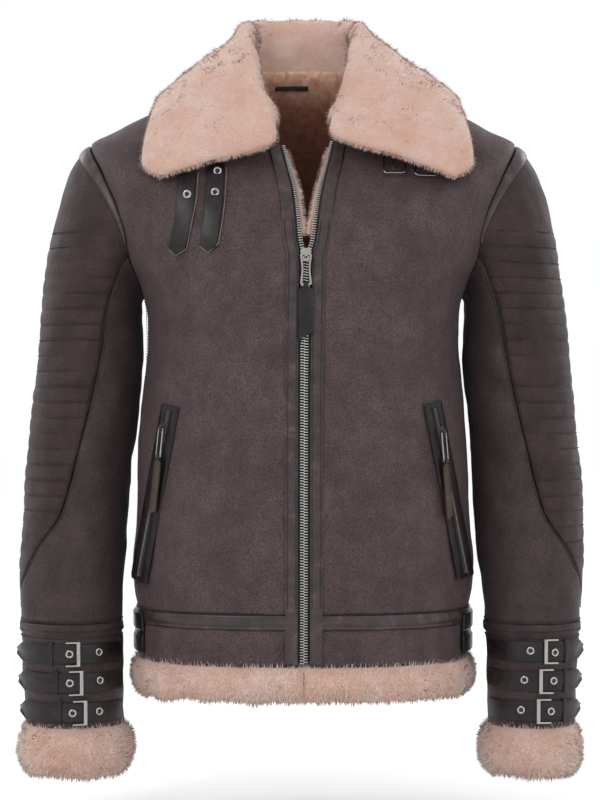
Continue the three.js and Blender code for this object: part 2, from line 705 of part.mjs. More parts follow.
// A slider's place on the front, and the line its pull hangs along, by the tab's lower end,
// whose middle clears the panel by clearance.
function pullLine(sliderX, sliderZ, endX, endZ, sliderHeight, clearance) {
  const place = onTorso(sliderX, sliderZ);
  const step = 3;
  const upward = onTorso(sliderX, sliderZ + step).sub(onTorso(sliderX, sliderZ - step));
  const aside = onTorso(sliderX + step, sliderZ).sub(onTorso(sliderX - step, sliderZ));
  const away = aside.clone().cross(upward).normalize();
  const seat = place.clone().addScaledVector(away, sliderHeight + SLIDER_PLATE);
  const hinge = seat.clone().addScaledVector(away, BAIL_Z);
  const end = onTorso(endX, endZ).addScaledVector(away, clearance);
  return { seat, hinge, away, hang: hinge.clone().sub(end), upward };
}

function addPull(names, line, sizes) {
  const slant = setOn(line.hinge, line.hang, line.away);
  add(names.pull, pullLoop(sizes.loopWidth, sizes.loopLength).applyMatrix4(slant), STEEL);
  const eyeWidth = sizes.loopWidth - 2 * BAR - 0.8;
  const tab = pullTab(sizes.loopLength, eyeWidth, sizes.tabWidth, sizes.tabLength);
  add(names.tab, tab.applyMatrix4(slant), SMOOTH);
}

const MAIN_PULL = { loopWidth: 9.6, loopLength: 34, tabWidth: 16, tabLength: 56 };
const POCKET_PULL = { loopWidth: 8.6, loopLength: 33, tabWidth: 10, tabLength: 60 };

function makeMainSlider() {
  const line = pullLine(2.9, -210, 2.9, -303, 1.2, 3.4);
  const place = setOn(line.seat, line.upward, line.away);
  add("zip_slider", sliderPlate(9, 14).applyMatrix4(place), STEEL);
  addPull({ pull: "zip_pull", tab: "zip_pull_tab" }, line, MAIN_PULL);
}

makeMainSlider();

// Pocket welts run down and out to the side seams: the middle of each end, in X and Z.
// The slider stands at a share of the way down, and its tab hangs to the end point.
const POCKETS = {
  r: { topX: -141, topZ: -369, lowX: -177.5, lowZ: -560, slider: 0.13, endX: -156, endZ: -489 },
  l: { topX: 137.5, topZ: -366, lowX: 175.5, lowZ: -556, slider: 0.17, endX: 152, endZ: -494 },
};
// Half a welt's section: distance from its middle line and height over the front.
const WELT_HALF = [
  { out: 2.8, height: 1.9 },
  { out: 3, height: 3.2 },
  { out: 8.6, height: 3.2 },
  { out: 10, height: 2.4 },
];
const WELT_BED = WELT_HALF[0].height;
const WELT_LIP = WELT_HALF[1].height;

function makePockets() {
  for (const [side] of SIDES) {
    const p = POCKETS[side];
    const run = new THREE.Vector2(p.lowX - p.topX, p.lowZ - p.topZ);
    const across = new THREE.Vector2(-run.y, run.x).normalize();
    const surface = (u, v) => onTorso(
      p.topX + run.x * v + across.x * u,
      p.topZ + run.y * v + across.y * u,
    );
    const mirrored = WELT_HALF.map(({ out, height }) => ({ out: -out, height })).reverse();
    const section = [...mirrored, ...WELT_HALF];
    const columns = section.map(({ out }) => out);
    const rows = steps(0, 1, 9);
    const relief = { stepU: 0.5, stepV: 0.01, hand: -1 };
    add("pocket_welt_" + side, slab(surface, columns, rows, {
      ...relief,
      low: 1.2,
      high: (i) => section[i].height,
    }), SMOOTH);
    const zip = slab(surface, [-2.2, -1, 1, 2.2], steps(0.03, 0.97, 8), {
      ...relief,
      low: WELT_BED + 0.5,
      high: (i) => WELT_BED + (i === 0 || i === 3 ? 1.1 : 1.9),
    });
    const sliderX = p.topX + run.x * p.slider;
    const sliderZ = p.topZ + run.y * p.slider;
    const line = pullLine(sliderX, sliderZ, p.endX, p.endZ, WELT_LIP + 0.6, 8.5);
    const slope = new THREE.Vector3(-run.x, 0, -run.y);
    const slider = sliderPlate(8.4, 12).applyMatrix4(setOn(line.seat, slope, line.away));
    add("pocket_zip_" + side, joined(zip, slider), STEEL);
    addPull({ pull: "pocket_pull_" + side, tab: "pocket_tab_" + side }, line, POCKET_PULL);
  }
}

makePockets();

// Straps. A strap's course is a table of the X and Z of its middle, on the front.
const COLLAR_STRAPS = [
  [[-124, -102], [-125.4, -142], [-126.5, -168], [-134, -202]],
  [[-93, -98], [-95, -140], [-96.5, -166], [-100.3, -200]],
];
const STRAP_HALF = 9.3;
const STRAP_TIP = 7;
const STRAP_WALL = 2.2;

// 1 down the middle of a pointed strap and 0 at its edges, at the strap's far end only.
const point = (aside, along) => (along > 0.999 ? 1 - Math.abs(aside) : 0);

function makeCollarStraps() {
  COLLAR_STRAPS.forEach((course, k) => {
    const curve = new THREE.CatmullRomCurve3(course.map(([x, z]) => new THREE.Vector3(x, 0, z)));
    const surface = (u, v) => {
      const share = THREE.MathUtils.clamp(v, 0, 1);
      const way = curve.getTangent(share);
      const at = curve.getPoint(share).addScaledVector(way, STRAP_TIP * point(u, v));
      return onTorso(at.x - way.z * STRAP_HALF * u, at.z + way.x * STRAP_HALF * u);
    };
    add("collar_strap_" + (k + 1), slab(surface, [-1, 0, 1], steps(0, 1, 6), {
      low: LIFT + 1,
      high: LIFT + 1 + STRAP_WALL,
      stepU: 0.05,
      stepV: 0.01,
      hand: -1,
    }), SMOOTH);
  });
}

makeCollarStraps();

// Collar buckles hang by chapes from under the collar. Each frame and prong turns on its own.
const COLLAR_BUCKLES = [
  { x: 98.5, hingeZ: -100, prongX: -1.4 },
  { x: 131.8, hingeZ: -103, prongX: 1.4 },
];
const BUCKLE_WIDTH = 25;
const BUCKLE_LENGTH = 26;
const CHAPE_GAP = 0.4; // from the eyes to the front
const FRAME_CLEARANCE = 4.4; // from the frame's lower end to the front
const CHAPE = { half: 7.5, length: 20, wall: 2, rim: 2.9, slot: 1.6 };
const PRONG = { rim: 2.6, root: 0.9, tip: 0.6, wall: 1.6, eye: 2 };
const TONGUE_START = 1.9; // from the hinge, inside the rim of the eye

function buckleFrame() {
  const middle = BAR / 2 - BUCKLE_LENGTH / 2;
  const opening = [BUCKLE_WIDTH - 2 * BAR, BUCKLE_LENGTH - 2 * BAR];
  const frame = roundedPath(new THREE.Shape(), 0, middle, BUCKLE_WIDTH, BUCKLE_LENGTH, 3);
  frame.holes.push(roundedPath(new THREE.Path(), 0, middle, ...opening, 2));
  return plate(frame, -BAR / 2, BAR / 2);
}

// A folded leather loop with a slot for the prong and two eyes round the hinge bar.
function buckleChape(prongX) {
  const { half, length, wall, rim, slot } = CHAPE;
  const outline = [
    [-half, TONGUE_START], [prongX - slot, TONGUE_START], [prongX - slot, 2 * TONGUE_START],
    [prongX + slot, 2 * TONGUE_START], [prongX + slot, TONGUE_START], [half, TONGUE_START],
    [half, length], [-half, length],
  ];
  const notched = new THREE.Shape(outline.map(([x, y]) => new THREE.Vector2(x, y)));
  const eye = (from, to) => crosswise(ringShape(rim), to - from, 4).translate((from + to) / 2, 0, 0);
  const eyes = [eye(-half, prongX - slot), eye(prongX + slot, half)];
  return joined(plate(notched, -wall / 2, wall / 2), ...eyes);
}

function buckleProng(prongX) {
  const end = 3 * BAR - BUCKLE_LENGTH;
  const tongue = new THREE.Shape();
  tongue.moveTo(prongX - PRONG.root, -TONGUE_START);
  tongue.lineTo(prongX - PRONG.tip, end);
  tongue.lineTo(prongX + PRONG.tip, end);
  tongue.lineTo(prongX + PRONG.root, -TONGUE_START);
  tongue.closePath();
  const eye = crosswise(ringShape(PRONG.rim), PRONG.eye, 4).translate(prongX, 0, 0);
  return joined(plate(tongue, -PRONG.wall / 2, PRONG.wall / 2), eye);
}

function makeCollarBuckles() {
  COLLAR_BUCKLES.forEach(({ x, hingeZ, prongX }, k) => {
    const height = CHAPE_GAP + CHAPE.rim - SLIDER_PLATE - BAIL_Z;
    const line = pullLine(x, hingeZ, x, hingeZ - BUCKLE_LENGTH, height, FRAME_CLEARANCE);
    const place = setOn(line.hinge, line.hang, line.away);
    add("collar_buckle_" + (k + 1), buckleFrame().applyMatrix4(place), STEEL);
    add("collar_chape_" + (k + 1), buckleChape(prongX).applyMatrix4(place), SMOOTH);
    add("collar_prong_" + (k + 1), buckleProng(prongX).applyMatrix4(place), STEEL);
  });
}

makeCollarBuckles();

// Cuff straps run from the body side round the front to a pointed tip that stands off the sleeve.
// The roller of each buckle lies on its strap, and the two arms reach out beside it.
const CUFF_STRAPS = {
  r: [{ z: -638, roller: 102 }, { z: -669, roller: 104 }, { z: -701, roller: 107 }],
  l: [{ z: -635, roller: 81 }, { z: -667, roller: 86 }, { z: -699, roller: 88 }],
};
const CUFF_STRAP_HALF = 10.4;
const CUFF_STRAP_BASE = 1.1; // over the cuff band
const TIP_LIFT = 5;
const CUFF_BUCKLE = { height: 27, reach: 16, roller: 4, arm: 2 };

function cuffBuckle(sign) {
  const { height, reach, roller, arm } = CUFF_BUCKLE;
  const outline = [
    [0, -height / 2], [reach, -height / 2], [reach, arm - height / 2], [roller, arm - height / 2],
    [roller, height / 2 - arm], [reach, height / 2 - arm], [reach, height / 2], [0, height / 2],
  ];
  const shape = new THREE.Shape(outline.map(([x, y]) => new THREE.Vector2(sign * (x - 2), y)));
  return plate(shape, 0, 2);
}

function makeCuffStraps() {
  for (const [side, sign] of SIDES) {
    CUFF_STRAPS[side].forEach(({ z, roller }, k) => {
      const surface = (u, v) => sleeve(side, u, z + v * CUFF_STRAP_HALF);
      const last = 9;
      const tipLift = [...Array(last - 1).fill(0), TIP_LIFT / 4, TIP_LIFT];
      const raise = (height) => (i) => height + tipLift[i];
      add("cuff_strap_" + side + (k + 1), slab(surface, steps(0, 1, last), [-1, 0, 1], {
        low: raise(CUFF_STRAP_BASE),
        high: raise(CUFF_STRAP_BASE + STRAP_WALL),
        hand: -sign,
        stepV: 0.05,
        limits: (v) => [163, 12 - 9 * (1 - Math.abs(v))],
      }), SMOOTH);
      const place = sleeve(side, roller, z);
      const away = normalOf(surface, roller, 0, 0.2, 0.05, -sign);
      const lifted = place.addScaledVector(away, CUFF_STRAP_BASE + STRAP_WALL + 2 * LIFT);
      const matrix = setOn(lifted, new THREE.Vector3(0, 0, 1), away);
      add("cuff_buckle_" + side + (k + 1), cuffBuckle(sign).applyMatrix4(matrix), STEEL);
    });
  }
}

makeCuffStraps();

// Twin straps at each side seam draw in the waist, over the welt and the hem band.
const SIDE_TAB_ROWS = [
  { up: 8, height: 5 },
  { up: 25, height: 5 },
  { up: 27, height: 3.2 },
  { up: 31, height: 3.2 },
  { up: 33, height: 5 },
  { up: 51, height: 5 },
];
const SIDE_TAB_REACH = [66, 112]; // angles round the torso

function makeSideTabs() {
  for (const [side, sign] of SIDES) {
    add("side_tab_" + side, slab(torso, steps(0, 1, 5), SIDE_TAB_ROWS.map(({ up }) => up), {
      low: 1.6 + LIFT,
      high: (i, j) => SIDE_TAB_ROWS[j].height,
      limits: () => SIDE_TAB_REACH.map((angle) => sign * angle),
    }), SMOOTH);
  }
}

makeSideTabs();

// The hanger loop lies inside the back of the neck, just under the collar seam.
function makeHangerLoop() {
  const along = [180 - angleAt(6, NECK), 180 + angleAt(13, NECK), 180 + angleAt(32, NECK)];
  add("hanger_loop", slab(torso, along, [NECK - 9, NECK - 3], {
    low: -WALL - 3.4,
    high: -WALL - 1.4,
  }), SMOOTH);
}

makeHangerLoop();

export default jacket;
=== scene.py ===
"""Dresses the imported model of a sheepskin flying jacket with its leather, wool and metalwork.

The jacket is filled out as if worn. It faces -Y with +X to the wearer's left, and its origin is
between the shoulders. Tables are in millimetres, like a pattern cutter's, and meshes in metres.
"""

import json
import logging
import math
from dataclasses import dataclass, field
from enum import Enum
from functools import partial
from typing import Callable, Sequence

import bmesh
import bpy
import numpy as np
from mathutils import Matrix, Vector, noise

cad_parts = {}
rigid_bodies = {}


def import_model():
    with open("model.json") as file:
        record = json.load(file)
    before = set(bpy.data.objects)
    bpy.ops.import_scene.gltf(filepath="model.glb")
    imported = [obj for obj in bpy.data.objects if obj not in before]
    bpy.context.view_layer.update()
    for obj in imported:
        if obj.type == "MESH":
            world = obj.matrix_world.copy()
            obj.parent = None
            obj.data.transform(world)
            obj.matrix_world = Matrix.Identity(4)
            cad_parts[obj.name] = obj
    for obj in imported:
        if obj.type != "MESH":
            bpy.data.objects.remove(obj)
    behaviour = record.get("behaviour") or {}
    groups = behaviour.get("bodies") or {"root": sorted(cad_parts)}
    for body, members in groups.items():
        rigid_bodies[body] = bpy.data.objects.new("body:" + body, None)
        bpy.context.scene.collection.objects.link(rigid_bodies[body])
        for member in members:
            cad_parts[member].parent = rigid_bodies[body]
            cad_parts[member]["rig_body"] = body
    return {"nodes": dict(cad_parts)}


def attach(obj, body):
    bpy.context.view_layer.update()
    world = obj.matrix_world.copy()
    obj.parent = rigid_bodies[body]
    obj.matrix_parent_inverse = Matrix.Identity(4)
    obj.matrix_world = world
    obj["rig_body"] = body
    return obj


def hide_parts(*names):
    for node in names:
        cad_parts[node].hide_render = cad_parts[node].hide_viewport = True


log = logging.getLogger("flying_jacket")

MM = 0.001
SEED = 7
WALL = 8.0  # leather with its shorn wool
SQUARE = 0.8  # below 1, a ring is squarer than an ellipse
TRUNK_TOP = 396.0  # lengths up the trunk from the hem band's lower edge
TIP = 571.0
NECK = 746.0
CAP_Z = -265.0
CUFF_TOP_Z = -606.0
CUFF_END_Z = -718.0
CUFF_FUR_Z = -777.0
HEM_Z = -646.0
HEM_FUR_Z = -690.0
EDGE_TO_TEETH = 7.0
FACING_WIDTH = 12.5
COLLAR_WALL = 10.0
CAP_DOWN = 120.0  # length down a sleeve at which its cap ends
SLEEVE_DOWN = 461.0  # length down a sleeve at which the cuff's band starts
PANEL_FOOT = 53.0  # where the fronts and the back start, under the waist's welt
SLEEVE_AXIS = 240.0  # X of the line down the hollow of a sleeve
CUFF_AXIS = (251.0, -36.0)  # X and Y of the line down the hollow of a cuff
NAPE_HALF = 0.035  # half the width of the nape's wool, in metres
PIXEL = 1.12  # millimetres in one pixel of the 600 by 800 frame, at Y = 0
EYE_AWAY = 2500.0
AIM_X = -3.4
AIM_Z = -363.0

Array = np.ndarray
Surface = Callable[[Array, Array], Array]


class Side(Enum):
    """The wearer's right and left, with the sign of X."""

    RIGHT = ("r", -1)
    LEFT = ("l", 1)

    @property
    def tag(self) -> str:
        """The letter that ends a node's name."""
        return self.value[0]

    @property
    def sign(self) -> int:
        """-1 on the wearer's right and 1 on the left."""
        return self.value[1]


class Profile:
    """A smooth curve through a column of a table, with no overshoot between its rows."""

    def __init__(self, keys: Sequence[float], values: Sequence[float]) -> None:
        """Sorts the rows and works out the slope at each.

        Args:
            keys: Where each row lies.
            values: The column's values there.
        """
        order = np.argsort(keys)
        self.keys = np.asarray(keys, float)[order]
        self.values = np.asarray(values, float)[order]
        slopes = np.diff(self.values) / np.diff(self.keys)
        inner = np.zeros(len(slopes) - 1)
        product = slopes[:-1] * slopes[1:]
        rising = product > 0
        inner[rising] = 2 * product[rising] / (slopes[:-1] + slopes[1:])[rising]
        self.tangents = np.concatenate([slopes[:1], inner, slopes[-1:]])

    def __call__(self, at: Array | float) -> Array:
        """Reads the curve.

        Args:
            at: Where to read, held to the table's range.

        Returns:
            The values there.
        """
        at = np.clip(np.asarray(at, float), self.keys[0], self.keys[-1])
        i = np.clip(np.searchsorted(self.keys, at, side="right") - 1, 0, len(self.keys) - 2)
        span = self.keys[i + 1] - self.keys[i]
        t = (at - self.keys[i]) / span
        return (
            (2 * t**3 - 3 * t**2 + 1) * self.values[i]
            + (t**3 - 2 * t**2 + t) * span * self.tangents[i]
            + (3 * t**2 - 2 * t**3) * self.values[i + 1]
            + (t**3 - t**2) * span * self.tangents[i + 1]
        )


def columns(names: str, rows: Sequence[Sequence[float]]) -> dict[str, Profile]:
    """Turns a table into one curve for each column but the first, by the first.

    Args:
        names: The columns' names after the first.
        rows: The table.

    Returns:
        The curves by name.
    """
    by_column = list(zip(*rows))
    return {name: Profile(by_column[0], by_column[k + 1]) for k, name in enumerate(names.split())}


def signed_power(value: Array, exponent: float) -> Array:
    """Raises a number's size to a power and keeps its sign."""
    return np.sign(value) * np.abs(value) ** exponent


class Trunk:
    """The outer surface of the trunk, its side seams and the zip's course."""

    rings = columns(
        "front_z side_z back_z half front back seam_x",
        [
            (0, -646, -646, -646, 184, 137, 135, 184),
            (40, -606, -606, -606, 184, 139, 136, 184),
            (53, -593, -593, -593, 184.5, 141, 137, 184.5),
            (76, -570, -570, -570, 188.5, 146, 140, 188.5),
            (101, -545, -545, -545, 190, 149, 142, 190),
            (146, -500, -500, -500, 186, 149, 142, 186),
            (206, -440, -440, -440, 184, 148, 139, 184),
            (272, -374, -374, -374, 179.5, 146, 137, 179.5),
            (346, -300, -300, -300, 174.5, 145, 137, 174.5),
            (384, -262, -262, -262, 175.5, 144, 138, 175.5),
            (396, -250, -250, -250, 178, 143, 138, 178),
            (416, -238, -231, -236, 185, 143, 139, 182),
            (440, -224, -206, -218, 200, 142, 140, 190.5),
            (470, -208, -176, -197, 209, 140, 140, 194),
            (502, -194, -144, -172, 218, 136, 138, 203),
            (538, -181, -109, -150, 228, 131, 134, 220),
            (571, -168, -80, -126, 237, 126, 128, 237),
            (607, -150, -62, -100, 205, 115, 118, 205),
            (648, -132, -43, -72, 168, 103, 107, 168),
            (690, -114, -24, -42, 130, 89, 95, 130),
            (722, -98, -9, -16, 101, 74, 85, 101),
            (746, -82, 0, 4, 83, 62, 78, 83),
        ],
    )
    zip_course = columns(
        "middle teeth",
        [
            (-700, 0.6, 0.3),
            (-363, 1, 0.3),
            (-212, 2.9, 0.8),
            (-193, 3.5, 4.6),
            (-166, 4, 7.5),
            (-138, 4.6, 11.3),
            (-109, 4.7, 18.9),
            (-82, 4.7, 26.8),
        ],
    )

    def point(self, angle: Array, up: Array) -> Array:
        """Finds points of the outer surface.

        Args:
            angle: 0 at the front middle, 90 at the wearer's left, 180 at the back, in degrees.
            up: Length up the trunk from the hem.

        Returns:
            Points in millimetres, one a row.
        """
        angle = np.radians(np.asarray(angle, float))
        s, c = np.sin(angle), np.cos(angle)
        ring = {name: curve(up) for name, curve in self.rings.items()}
        middle = np.where(c > 0, ring["front_z"], ring["back_z"])
        depth = np.where(c > 0, ring["front"], ring["back"])
        x = ring["half"] * signed_power(s, SQUARE)
        y = -depth * signed_power(c, SQUARE)
        z = middle * c * c + ring["side_z"] * s * s
        return np.stack(np.broadcast_arrays(x, y, z), axis=-1)

    def angle_at(self, x: Array, up: Array) -> Array:
        """Gives the angle at which a ring of the trunk reaches an X.

        Args:
            x: Across, in millimetres.
            up: Length up the trunk.

        Returns:
            The angle in degrees.
        """
        x = np.asarray(x, float)
        share = np.minimum(np.abs(x) / self.rings["half"](up), 1)
        return np.sign(x) * np.degrees(np.arcsin(share ** (1 / SQUARE)))

    def seam_angle(self, up: Array) -> Array:
        """Gives the angle of the side seam, or of the armhole where there is one.

        Args:
            up: Length up the trunk.

        Returns:
            The angle in degrees, on the left side.
        """
        up = np.asarray(up, float)
        seam = self.angle_at(self.rings["seam_x"](up), up)
        return np.where((up <= TRUNK_TOP) | (up >= TIP), 90.0, seam)

    def zip_angle(self, sign: int, up: Array, away: float) -> Array:
        """Gives the angle at a distance from the zip's teeth.

        Args:
            sign: Which side of the zip.
            up: Length up the trunk.
            away: Distance from the teeth.

        Returns:
            The angle.
        """
        z = self.rings["front_z"](up)
        x = self.zip_course["middle"](z) + sign * (self.zip_course["teeth"](z) + away)
        return self.angle_at(x, up)

    def front(self, x: Array, z: Array) -> Array:
        """Finds the points of the front that lie at given X and Z.

        Args:
            x: Across, in millimetres.
            z: Height.

        Returns:
            Points in millimetres.
        """
        x, z = np.broadcast_arrays(np.asarray(x, float), np.asarray(z, float))
        low, high = np.zeros(x.shape), np.full(x.shape, NECK)
        for _ in range(22):
            middle = (low + high) / 2
            below = self.point(self.angle_at(x, middle), middle)[..., 2] < z
            low, high = np.where(below, middle, low), np.where(below, high, middle)
        up = (low + high) / 2
        return self.point(self.angle_at(x, up), up)


class SleeveForm:
    """The outer surface of one sleeve and the seam between its two leathers."""

    armhole = Profile((0, 55, 82, 101, 121, 141, 180), (571, 538, 502, 470, 440, 416, 396))
    seam = Profile((-578, -565, -525, -486, -430, -341, -212), (1.5, 20, 52, 79, 91, 104, 120))
    rings = {
        Side.RIGHT: columns(
            "inner outer mid_y deep",
            [
                (-265, 178.8, 291, 0, 76),
                (-300, 178.8, 295, 0, 76),
                (-368, 182.8, 301, -3, 74),
                (-430, 189.3, 306.7, -8, 71),
                (-497, 195, 311, -14, 67),
                (-560, 199, 313.2, -20, 63),
                (-609, 200.5, 312, -25, 60),
                (-660, 199, 309, -31, 56),
                (-733, 197, 304, -38, 52),
            ],
        ),
        Side.LEFT: columns(
            "inner outer mid_y deep",
            [
                (-265, 178.8, 291, 0, 76),
                (-300, 178.8, 296, 0, 76),
                (-368, 182.8, 302, -3, 74),
                (-430, 187, 308, -8, 71),
                (-497, 190.5, 311.5, -14, 67),
                (-560, 196.5, 309.5, -20, 63),
                (-609, 201.5, 306, -25, 60),
                (-660, 203.3, 302.5, -31, 56),
                (-733, 204, 298, -38, 52),
            ],
        ),
    }

    def __init__(self, side: Side, trunk: Trunk) -> None:
        """Keeps which sleeve this is, and the trunk that it is sewn to."""
        self.side = side
        self.trunk = trunk

    def point(self, angle: Array, level: Array) -> Array:
        """Finds points of the outer surface.

        Args:
            angle: 0 at the outer edge, 90 at the front, in degrees.
            level: 1 at the armhole to 0 at the cap's last ring, and a Z in millimetres below it.

        Returns:
            Points in millimetres, one a row.
        """
        angle, level = np.broadcast_arrays(np.asarray(angle, float), np.asarray(level, float))
        turn = (angle + 180) % 360 - 180
        z = np.where(level > 0, CAP_Z, np.minimum(level, CAP_Z))
        ring = {name: curve(z) for name, curve in self.rings[self.side].items()}
        half = (ring["outer"] - ring["inner"]) / 2
        s, c = np.sin(np.radians(turn)), np.cos(np.radians(turn))
        below = np.stack([ring["inner"] + half * (1 + c), ring["mid_y"] - ring["deep"] * s, z], -1)
        up = self.armhole(np.abs(turn))
        seam = self.trunk.seam_angle(up)
        start = self.trunk.point(np.where(turn > 0, seam, 180 - seam), up)
        outer = (1 + c) / 2
        zero = np.zeros_like(outer)
        leave = np.stack([10 + 92 * outer, zero, -15 - 30 * outer], -1)
        arrive = np.stack([10 * outer, zero, -15 - 165 * outer], -1)
        t = np.where(level > 0, 1 - level, 1)[..., None]
        cap = (
            below * (3 * t**2 - 2 * t**3)
            + start * (2 * t**3 - 3 * t**2 + 1)
            + leave * (t**3 - 2 * t**2 + t)
            + arrive * (t**3 - t**2)
        )
        found = np.where((level > 0)[..., None], cap, below)
        return found * np.array([self.side.sign, 1, 1])

    def down(self, angle: Array, length: Array) -> Array:
        """Finds points by the angle and the length down the sleeve from its armhole.

        Args:
            angle: As for point.
            length: Length down the sleeve.

        Returns:
            Points in millimetres, one a row.
        """
        return self.point(angle, sleeve_level(length))

    def seam_at(self, level: Array) -> Array:
        """Gives the angle of the seam between ribbed and smooth leather.

        Args:
            level: As for point.

        Returns:
            The angle in degrees.
        """
        level = np.asarray(level, float)
        z = np.where(level > 0, CAP_Z * (1 - level) - 150 * level, level)
        return self.seam(z)


class CollarForm:
    """The wool face of the collar, from the neck seam over its crest to the free edge."""

    rows = columns(
        "neck_x neck_y neck_z fold_x fold_y fold_z edge_x edge_y edge_z turn",
        [
            (0, 0, 74, 5.9, 0, 94, 79, 0, 108, -34, 180),
            (1, 42, 66, 4.8, 42, 83, 77, 92, 95, -40, 150),
            (2, 70, 38, 0, 62, 48, 70, 152, 58, -28, 115),
            (3, 78, -4, -1.2, 66, 2, 58, 172, 0, -26, 90),
            (4, 72, -32, -18.4, 58, -40, 26, 180, -76, -62, 62),
            (5, 58, -50, -46, 44, -70, -22, 183, -106, -104, 35),
            (6, 38, -62, -73.4, 26, -86, -52, 164, -118, -124, 15),
        ],
    )

    def point(self, at: float, across: Sequence[float]) -> Array:
        """Finds the points of one line across the collar.

        Args:
            at: -6 to 6, round the neck from the wearer's right front end to the left one.
            across: Shares of the way from the neck seam to the free edge.

        Returns:
            Points in millimetres, one a row.
        """
        row = {name: float(curve(abs(at))) for name, curve in self.rows.items()}
        turn = math.radians(row["turn"])
        out = np.array([math.sin(turn), -math.cos(turn), 0])
        neck, crest, edge = (
            np.array([row[f"{part}_{axis}"] for axis in "xyz"]) for part in ("neck", "fold", "edge")
        )
        stand = min(float(np.linalg.norm(neck - crest)) * 0.3, 16)
        knots = [
            neck,
            crest - 13 * out - [0, 0, stand],
            crest,
            crest + 15 * out - [0, 0, 14],
            crest + (edge - crest) * 0.62 + 6 * out,
            edge,
        ]
        shares = np.clip(np.asarray(across, float), 0, 1)
        found = centripetal(np.array(knots), shares)
        if at < 0:
            found[:, 0] *= 1 - 0.055 * np.clip(shares, 0, 1)
        return found * np.array([-1 if at < 0 else 1, 1, 1])


def centripetal(knots: Array, shares: Array) -> Array:
    """Reads a centripetal spline through points, which rounds a corner without a loop.

    Args:
        knots: The points.
        shares: How far along to read, 0 to 1.

    Returns:
        Points, one for each share.
    """
    last = len(knots) - 1
    padded = np.vstack([2 * knots[0] - knots[1], knots, 2 * knots[-1] - knots[-2]])
    found = []
    for share in shares:
        at = share * last
        i = min(int(at), last - 1)
        t = at - i
        p = padded[i : i + 4]
        gaps = np.maximum(np.linalg.norm(np.diff(p, axis=0), axis=1) ** 0.5, 1e-4)
        leave = (p[1] - p[0]) / gaps[0] - (p[2] - p[0]) / (gaps[0] + gaps[1]) + (p[2] - p[1]) / gaps[1]
        arrive = (p[2] - p[1]) / gaps[1] - (p[3] - p[1]) / (gaps[1] + gaps[2]) + (p[3] - p[2]) / gaps[2]
        leave, arrive = leave * gaps[1], arrive * gaps[1]
        found.append(
            (2 * t**3 - 3 * t**2 + 1) * p[1]
            + (t**3 - 2 * t**2 + t) * leave
            + (3 * t**2 - 2 * t**3) * p[2]
            + (t**3 - t**2) * arrive
        )
    return np.array(found)


def linear(hex_colour: str) -> tuple[float, float, float, float]:
    """Turns an sRGB hex colour such as 453a38 into Blender's linear one.

    Args:
        hex_colour: Six digits, without a mark before them.

    Returns:
        Red, green, blue and 1.
    """
    parts = [int(hex_colour[i : i + 2], 16) / 255 for i in (0, 2, 4)]
    return (*[p / 12.92 if p <= 0.04045 else ((p + 0.055) / 1.055) ** 2.4 for p in parts], 1.0)


NOISE = "ShaderNodeTexNoise"
RAMP = "ShaderNodeValToRGB"
MIX = "ShaderNodeMix"
BUMP = "ShaderNodeBump"
MULTIPLY = {"data_type": "RGBA", "blend_type": "MULTIPLY"}


def per(millimetres: float) -> float:
    """Gives the scale at which a pattern's spots are about so many millimetres wide."""
    return 1 / (millimetres * MM)


def add_node(
    tree: bpy.types.NodeTree, kind: str, settings: dict | None = None, **links: object
) -> bpy.types.Node:
    """Adds a node to a tree.

    Args:
        tree: The tree.
        kind: Blender's name for the node.
        settings: Values of its properties, and of its inputs by name or number. A colour is a hex
            value, and a ramp's stops are places with a grey or a hex value.
        **links: What feeds its inputs, by name with _ for a space, or by in0, in1 and so on: a
            socket, or a node for its first one.

    Returns:
        The node.
    """
    node = tree.nodes.new(kind)
    for key, value in (settings or {}).items():
        if key == "stops":
            points = node.color_ramp.elements
            while len(points) < len(value):
                points.new(0.5)
            for point, (at, shade) in zip(points, value):
                point.position = at
                point.color = linear(shade) if isinstance(shade, str) else (shade, shade, shade, 1)
        elif isinstance(key, int) or key in node.inputs:
            socket = node.inputs[key]
            socket.default_value = linear(value) if socket.type == "RGBA" else value
        else:
            setattr(node, key, value)
    for key, value in links.items():
        number = key[2:]
        slot = int(number) if key.startswith("in") and number.isdigit() else key.replace("_", " ")
        source = value.outputs[0] if isinstance(value, bpy.types.Node) else value
        tree.links.new(source, node.inputs[slot])
    return node


class Shader:
    """A material's node tree while it is being drawn up."""

    def __init__(self, name: str) -> None:
        """Starts a material with a Principled surface on Object coordinates.

        Args:
            name: The material's name.
        """
        self.material = bpy.data.materials.new(name)
        self.material.use_nodes = True
        self.tree = self.material.node_tree
        self.surface = next(n for n in self.tree.nodes if n.type == "BSDF_PRINCIPLED")
        self.place = self.add("ShaderNodeTexCoord").outputs["Object"]

    def add(self, kind: str, settings: dict | None = None, **links: object) -> bpy.types.Node:
        """Adds a node to the material's tree, set and linked as add_node does it."""
        return add_node(self.tree, kind, settings, **links)

    def finish(
        self, colour: object, roughness: object, normal: object | None, **fixed: object
    ) -> bpy.types.Material:
        """Feeds the surface.

        Args:
            colour: Node, socket or hex colour.
            roughness: Node or number.
            normal: The relief's node, if any.
            **fixed: Values set on the shader's own sockets, with _ for a space.

        Returns:
            The finished material.
        """
        for key, value in fixed.items():
            self.surface.inputs[key.replace("_", " ")].default_value = value
        for key, value in (("Base Color", colour), ("Roughness", roughness), ("Normal", normal)):
            if isinstance(value, str):
                self.surface.inputs[key].default_value = linear(value)
            elif isinstance(value, (int, float)):
                self.surface.inputs[key].default_value = value
            elif value is not None:
                source = value.outputs[0] if isinstance(value, bpy.types.Node) else value
                self.tree.links.new(source, self.surface.inputs[key])
        return self.material


